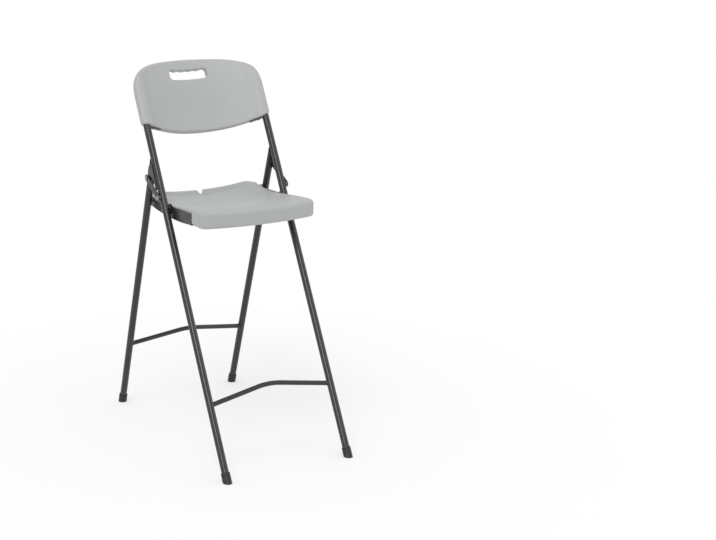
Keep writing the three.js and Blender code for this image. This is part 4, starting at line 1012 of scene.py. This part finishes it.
def padded(outline, centre, edge, under_edge, upper, lower, face_rings=26, edge_rings=8):
    def rounding(point, wanted):
        return min(wanted, 0.9 * (upper(point) - lower(point)) / 2)

    def flat_ring(inset, share):
        return [centre + (inset_point(p, centre, inset) - centre) * share for p in outline]

    rings = []
    quarter = [math.pi / 2 * i / edge_rings for i in range(edge_rings + 1)]
    for i in range(1, face_rings):
        rings.append([(p.x, p.y, upper(p)) for p in flat_ring(edge, i / face_rings)])
    for turn in quarter:
        ring = [inset_point(p, centre, edge * (1 - math.sin(turn))) for p in outline]
        rings.append([(p.x, p.y, upper(p) - rounding(p, edge) * (1 - math.cos(turn))) for p in ring])
    for turn in reversed(quarter):
        ring = [inset_point(p, centre, under_edge * (1 - math.sin(turn))) for p in outline]
        rings.append([(p.x, p.y, lower(p) + rounding(p, under_edge) * (1 - math.cos(turn))) for p in ring])
    for i in range(face_rings - 1, 0, -1):
        rings.append([(p.x, p.y, lower(p)) for p in flat_ring(under_edge, i / face_rings)])
    points = [(centre.x, centre.y, upper(centre))]
    points += [point for ring in rings for point in ring]
    points.append((centre.x, centre.y, lower(centre)))
    count, last = len(outline), len(points) - 1
    faces = [(0, 1 + k, 1 + (k + 1) % count) for k in range(count)]
    for r in range(len(rings) - 1):
        a, b = 1 + r * count, 1 + (r + 1) * count
        faces += [(a + k, b + k, b + (k + 1) % count, a + (k + 1) % count) for k in range(count)]
    a = 1 + (len(rings) - 1) * count
    faces += [(last, a + (k + 1) % count, a + k) for k in range(count)]
    return solid(points, faces)


# %% Trace outlines made of straight and curved pieces
def curve_points(start, controls, end, steps):
    knots = [Vector(point) for point in (start, *controls, end)]
    line = []
    for i in range(steps):
        level, share = knots, i / steps
        while len(level) > 1:
            level = [a.lerp(b, share) for a, b in zip(level, level[1:])]
        line.append(level[0])
    return line


def mirrored_outline(half):
    """half runs from the middle of the lower edge up the +X side to the middle of the upper edge."""
    return half + [Vector((-p.x, p.y)) for p in reversed(half)][1:-1]


def even(points, count):
    lengths = [(b - a).length for a, b in zip(points, points[1:] + points[:1])]
    total, result, index, walked = sum(lengths), [], 0, 0.0
    for i in range(count):
        goal = total * i / count
        while walked + lengths[index] < goal:
            walked += lengths[index]
            index += 1
        share = (goal - walked) / lengths[index]
        result.append(points[index].lerp(points[(index + 1) % len(points)], share))
    return result


# %% Cut a panel and soften it
def prism(outline, low, high):
    count = len(outline)
    points = [(p.x, p.y, low) for p in outline] + [(p.x, p.y, high) for p in outline]
    faces = [tuple(range(count - 1, -1, -1)), tuple(range(count, 2 * count))]
    faces += [(k, (k + 1) % count, (k + 1) % count + count, k + count) for k in range(count)]
    return solid(points, faces)


def cut_and_soften(panel, cutters, voxel, passes):
    for cutter in cutters:
        panel = boolean(panel, cutter, "DIFFERENCE")
    return evaluated(panel, ("REMESH", {"mode": "VOXEL", "voxel_size": voxel}),
                     ("SMOOTH", {"factor": 0.5, "iterations": passes}))


# %% [markdown]
# ## Backrest
#
# Seen from the front the backrest is a wide panel with round shoulders and a lower edge that
# hangs in a curve. It is bent to fit a back: its middle lies well behind the rails. The rails
# enter it from below at both sides, where it is thicker. The slot near its top is the hand
# hold, with four shallow hollows for the fingers along its upper edge.

# %% Backrest sizes, in the rails' plane and in millimetres
BACK_TOP = SEAT_ON_RAIL / MM + BACK_RISE
BACK_SAG, BACK_SETBACK = 67.7, 2
SHOULDER_HEIGHT, SHOULDER_POWERS = 142.7, (1.88, 3.17)
FOOT_CORNER = (8, 9)
SLOT_HALF, SLOT_HEIGHT, SLOT_CORNER = 65.5, 33, 13
SLOT_LOW = BACK_TOP - 52 - SLOT_HEIGHT / 2
SLOT_HIGH = SLOT_LOW + SLOT_HEIGHT
FINGERS, FINGER_DEPTH = 4, 5.2


def back_curve(x):
    return BACK_SETBACK + BACK_SAG * max(1 - (x / RAIL_X) ** 2, 0) ** 1.25


def back_thickness(x):
    return 20 + 11 * smooth_step(abs(x), RAIL_X - 44, RAIL_X - 11)


def shoulder(i, steps=90):
    share = math.cos(math.pi / 2 * i / steps)
    across, upward_power = SHOULDER_POWERS
    fall = 1 - (1 - share ** across) ** (1 / upward_power)
    return Vector((BACK_HALF * share, BACK_TOP - SHOULDER_HEIGHT * fall))


def back_outline():
    end, inner = lower_edge(BACK_HALF), BACK_HALF - FOOT_CORNER[0]
    corner_top = (BACK_HALF, end + FOOT_CORNER[1])
    points = [Vector((x, lower_edge(x))) for x in (inner * i / 60 for i in range(60))]
    points += curve_points((inner, lower_edge(inner)), [(BACK_HALF, end + 1)], corner_top, 10)
    points += curve_points(corner_top, [], (BACK_HALF, BACK_TOP - SHOULDER_HEIGHT), 20)
    points += [shoulder(i) for i in range(90)]
    points.append(Vector((0, BACK_TOP)))
    return even(mirrored_outline(points), 280)


def slot_outline():
    half, low, high, r = SLOT_HALF, SLOT_LOW, SLOT_HIGH, SLOT_CORNER
    points = [Vector((0, low))] + curve_points((half - r, low), [(half, low)], (half, low + r), 8)
    points += curve_points((half, high - r), [(half, high)], (half - r, high), 8)
    finger = 2 * (half - r) / FINGERS
    for x in (half - r - finger, half - r - 2 * finger):
        points += curve_points((x + finger, high), [(x + finger / 2, high - FINGER_DEPTH)], (x, high), 12)
    points.append(Vector((0, high)))
    return mirrored_outline(points)


# %% Make the backrest
def face_of(point, share):
    return -back_curve(point.x) + share * back_thickness(point.x) / 2


panel = padded(back_outline(), Vector((0, (BACK_TOP + BACK_BOTTOM) / 2)), 10, 10,
               lambda p: face_of(p, 1), lambda p: face_of(p, -1))
backrest = cut_and_soften(panel, [prism(slot_outline(), -140, 60)], voxel=2.2, passes=5)
stand_up = Matrix.Rotation(math.radians(90), 4, "X") @ Matrix.Scale(MM, 4)
backrest.transform(on_rails @ stand_up)
settle("backrest_panel", backrest, "front_frame", ["backrest"], sharp=180)

# %% [markdown]
# ## Seat
#
# The seat is a hollow slab that is deepest at its front lip, where it hides the ends of the
# side channels. Its top is dished, with a raised rim at the rear, and its side edges dip
# towards the back. A V-shaped notch in the rear edge gives a fingertip hold for folding.

# %% Seat sizes, in plan and in millimetres behind the front foot axis
SEAT_HALF, SEAT_FRONT, SEAT_REAR, FRONT_BOW = 193, 160, 592, 19
FRONT_CORNER, REAR_CORNER = 27, 48
SIDE_HALF, SIDE_FRONT = 189, 247.7
NOTCH_WIDTH, NOTCH_DEPTH, NOTCH_TIP = 32, 20, 3
RIM_HEIGHT, SIDE_DIP, REAR_RISE, DISH_DEPTH = 760, 18, 12, 20
UNDERSIDE, LIP_DROP = 713.3, 2.8


def seat_outline():
    half, front, rear = SEAT_HALF, SEAT_FRONT, SEAT_REAR
    f, r, ends = FRONT_CORNER, REAR_CORNER, SEAT_FRONT + FRONT_BOW
    points = []
    for start, controls, end, steps in (
        ((0, front), [((half - f) * 0.55, front)], (half - f, ends), 40),
        ((half - f, ends), [(half - 0.45 * f, ends + 0.05 * f), (half, ends + 0.45 * f)],
         (half, ends + f), 30),
        ((half, ends + f), [], (half, rear - r), 60),
        ((half, rear - r), [(half, rear - 0.4 * r), (half - 0.4 * r, rear)], (half - r, rear), 30),
        ((half - r, rear), [], (0, rear), 30),
    ):
        points += curve_points(start, controls, end, steps)
    points.append(Vector((0, rear)))
    return even(mirrored_outline(points), 320)


def seat_share(point):
    return min(max((point.y - SEAT_FRONT) / (SEAT_REAR - SEAT_FRONT), 0), 1)


def seat_top(point):
    s = seat_share(point)
    across = min(abs(point.x) / SEAT_HALF, 1)
    dip = SIDE_DIP * smooth_step(s, 0.1, 0.72)
    side = RIM_HEIGHT - dip + REAR_RISE * smooth_step(s, 0.78, 0.97)
    floor_height = RIM_HEIGHT - dip - DISH_DEPTH * smooth_step(s, 0.05, 0.6)
    dish = side - (side - floor_height) * (1 - across ** 2) ** 0.8
    rim = side - 18 * (1 - across ** 2.3)
    return dish + (rim - dish) * smooth_step(point.y, SEAT_REAR - 25, SEAT_REAR - 11)


def seat_bottom(point):
    return UNDERSIDE - LIP_DROP * (1 - smooth_step(seat_share(point), 0.06, 0.15))


def notch_outline():
    slope, deepest = NOTCH_WIDTH / 2 / NOTCH_DEPTH, SEAT_REAR - NOTCH_DEPTH
    return mirrored_outline([
        Vector((0, deepest)), Vector((NOTCH_TIP, deepest + NOTCH_TIP / 2)),
        Vector((slope * 2 * NOTCH_DEPTH, SEAT_REAR + NOTCH_DEPTH)), Vector((0, SEAT_REAR + NOTCH_DEPTH))])


def flank_outline(side):
    corners = [(SIDE_HALF, SIDE_FRONT), (2 * SIDE_HALF, SIDE_FRONT),
               (2 * SIDE_HALF, 2 * SEAT_REAR), (SIDE_HALF, 2 * SEAT_REAR)]
    return [Vector((side * x, y)) for x, y in corners]


# %% Make the seat
slab = padded(seat_outline(), Vector((0, (SEAT_FRONT + SEAT_REAR) / 2)), 10, 8, seat_top, seat_bottom)
seat_cuts = [prism(outline, 640, 820) for outline in (notch_outline(), flank_outline(1), flank_outline(-1))]
seat = cut_and_soften(slab, seat_cuts, voxel=2.4, passes=4)
seat.transform(Matrix.Translation((0, front_line, 0)) @ Matrix.Scale(MM, 4))
settle("seat_moulding", seat, "seat", ["seat_shell"], sharp=180)
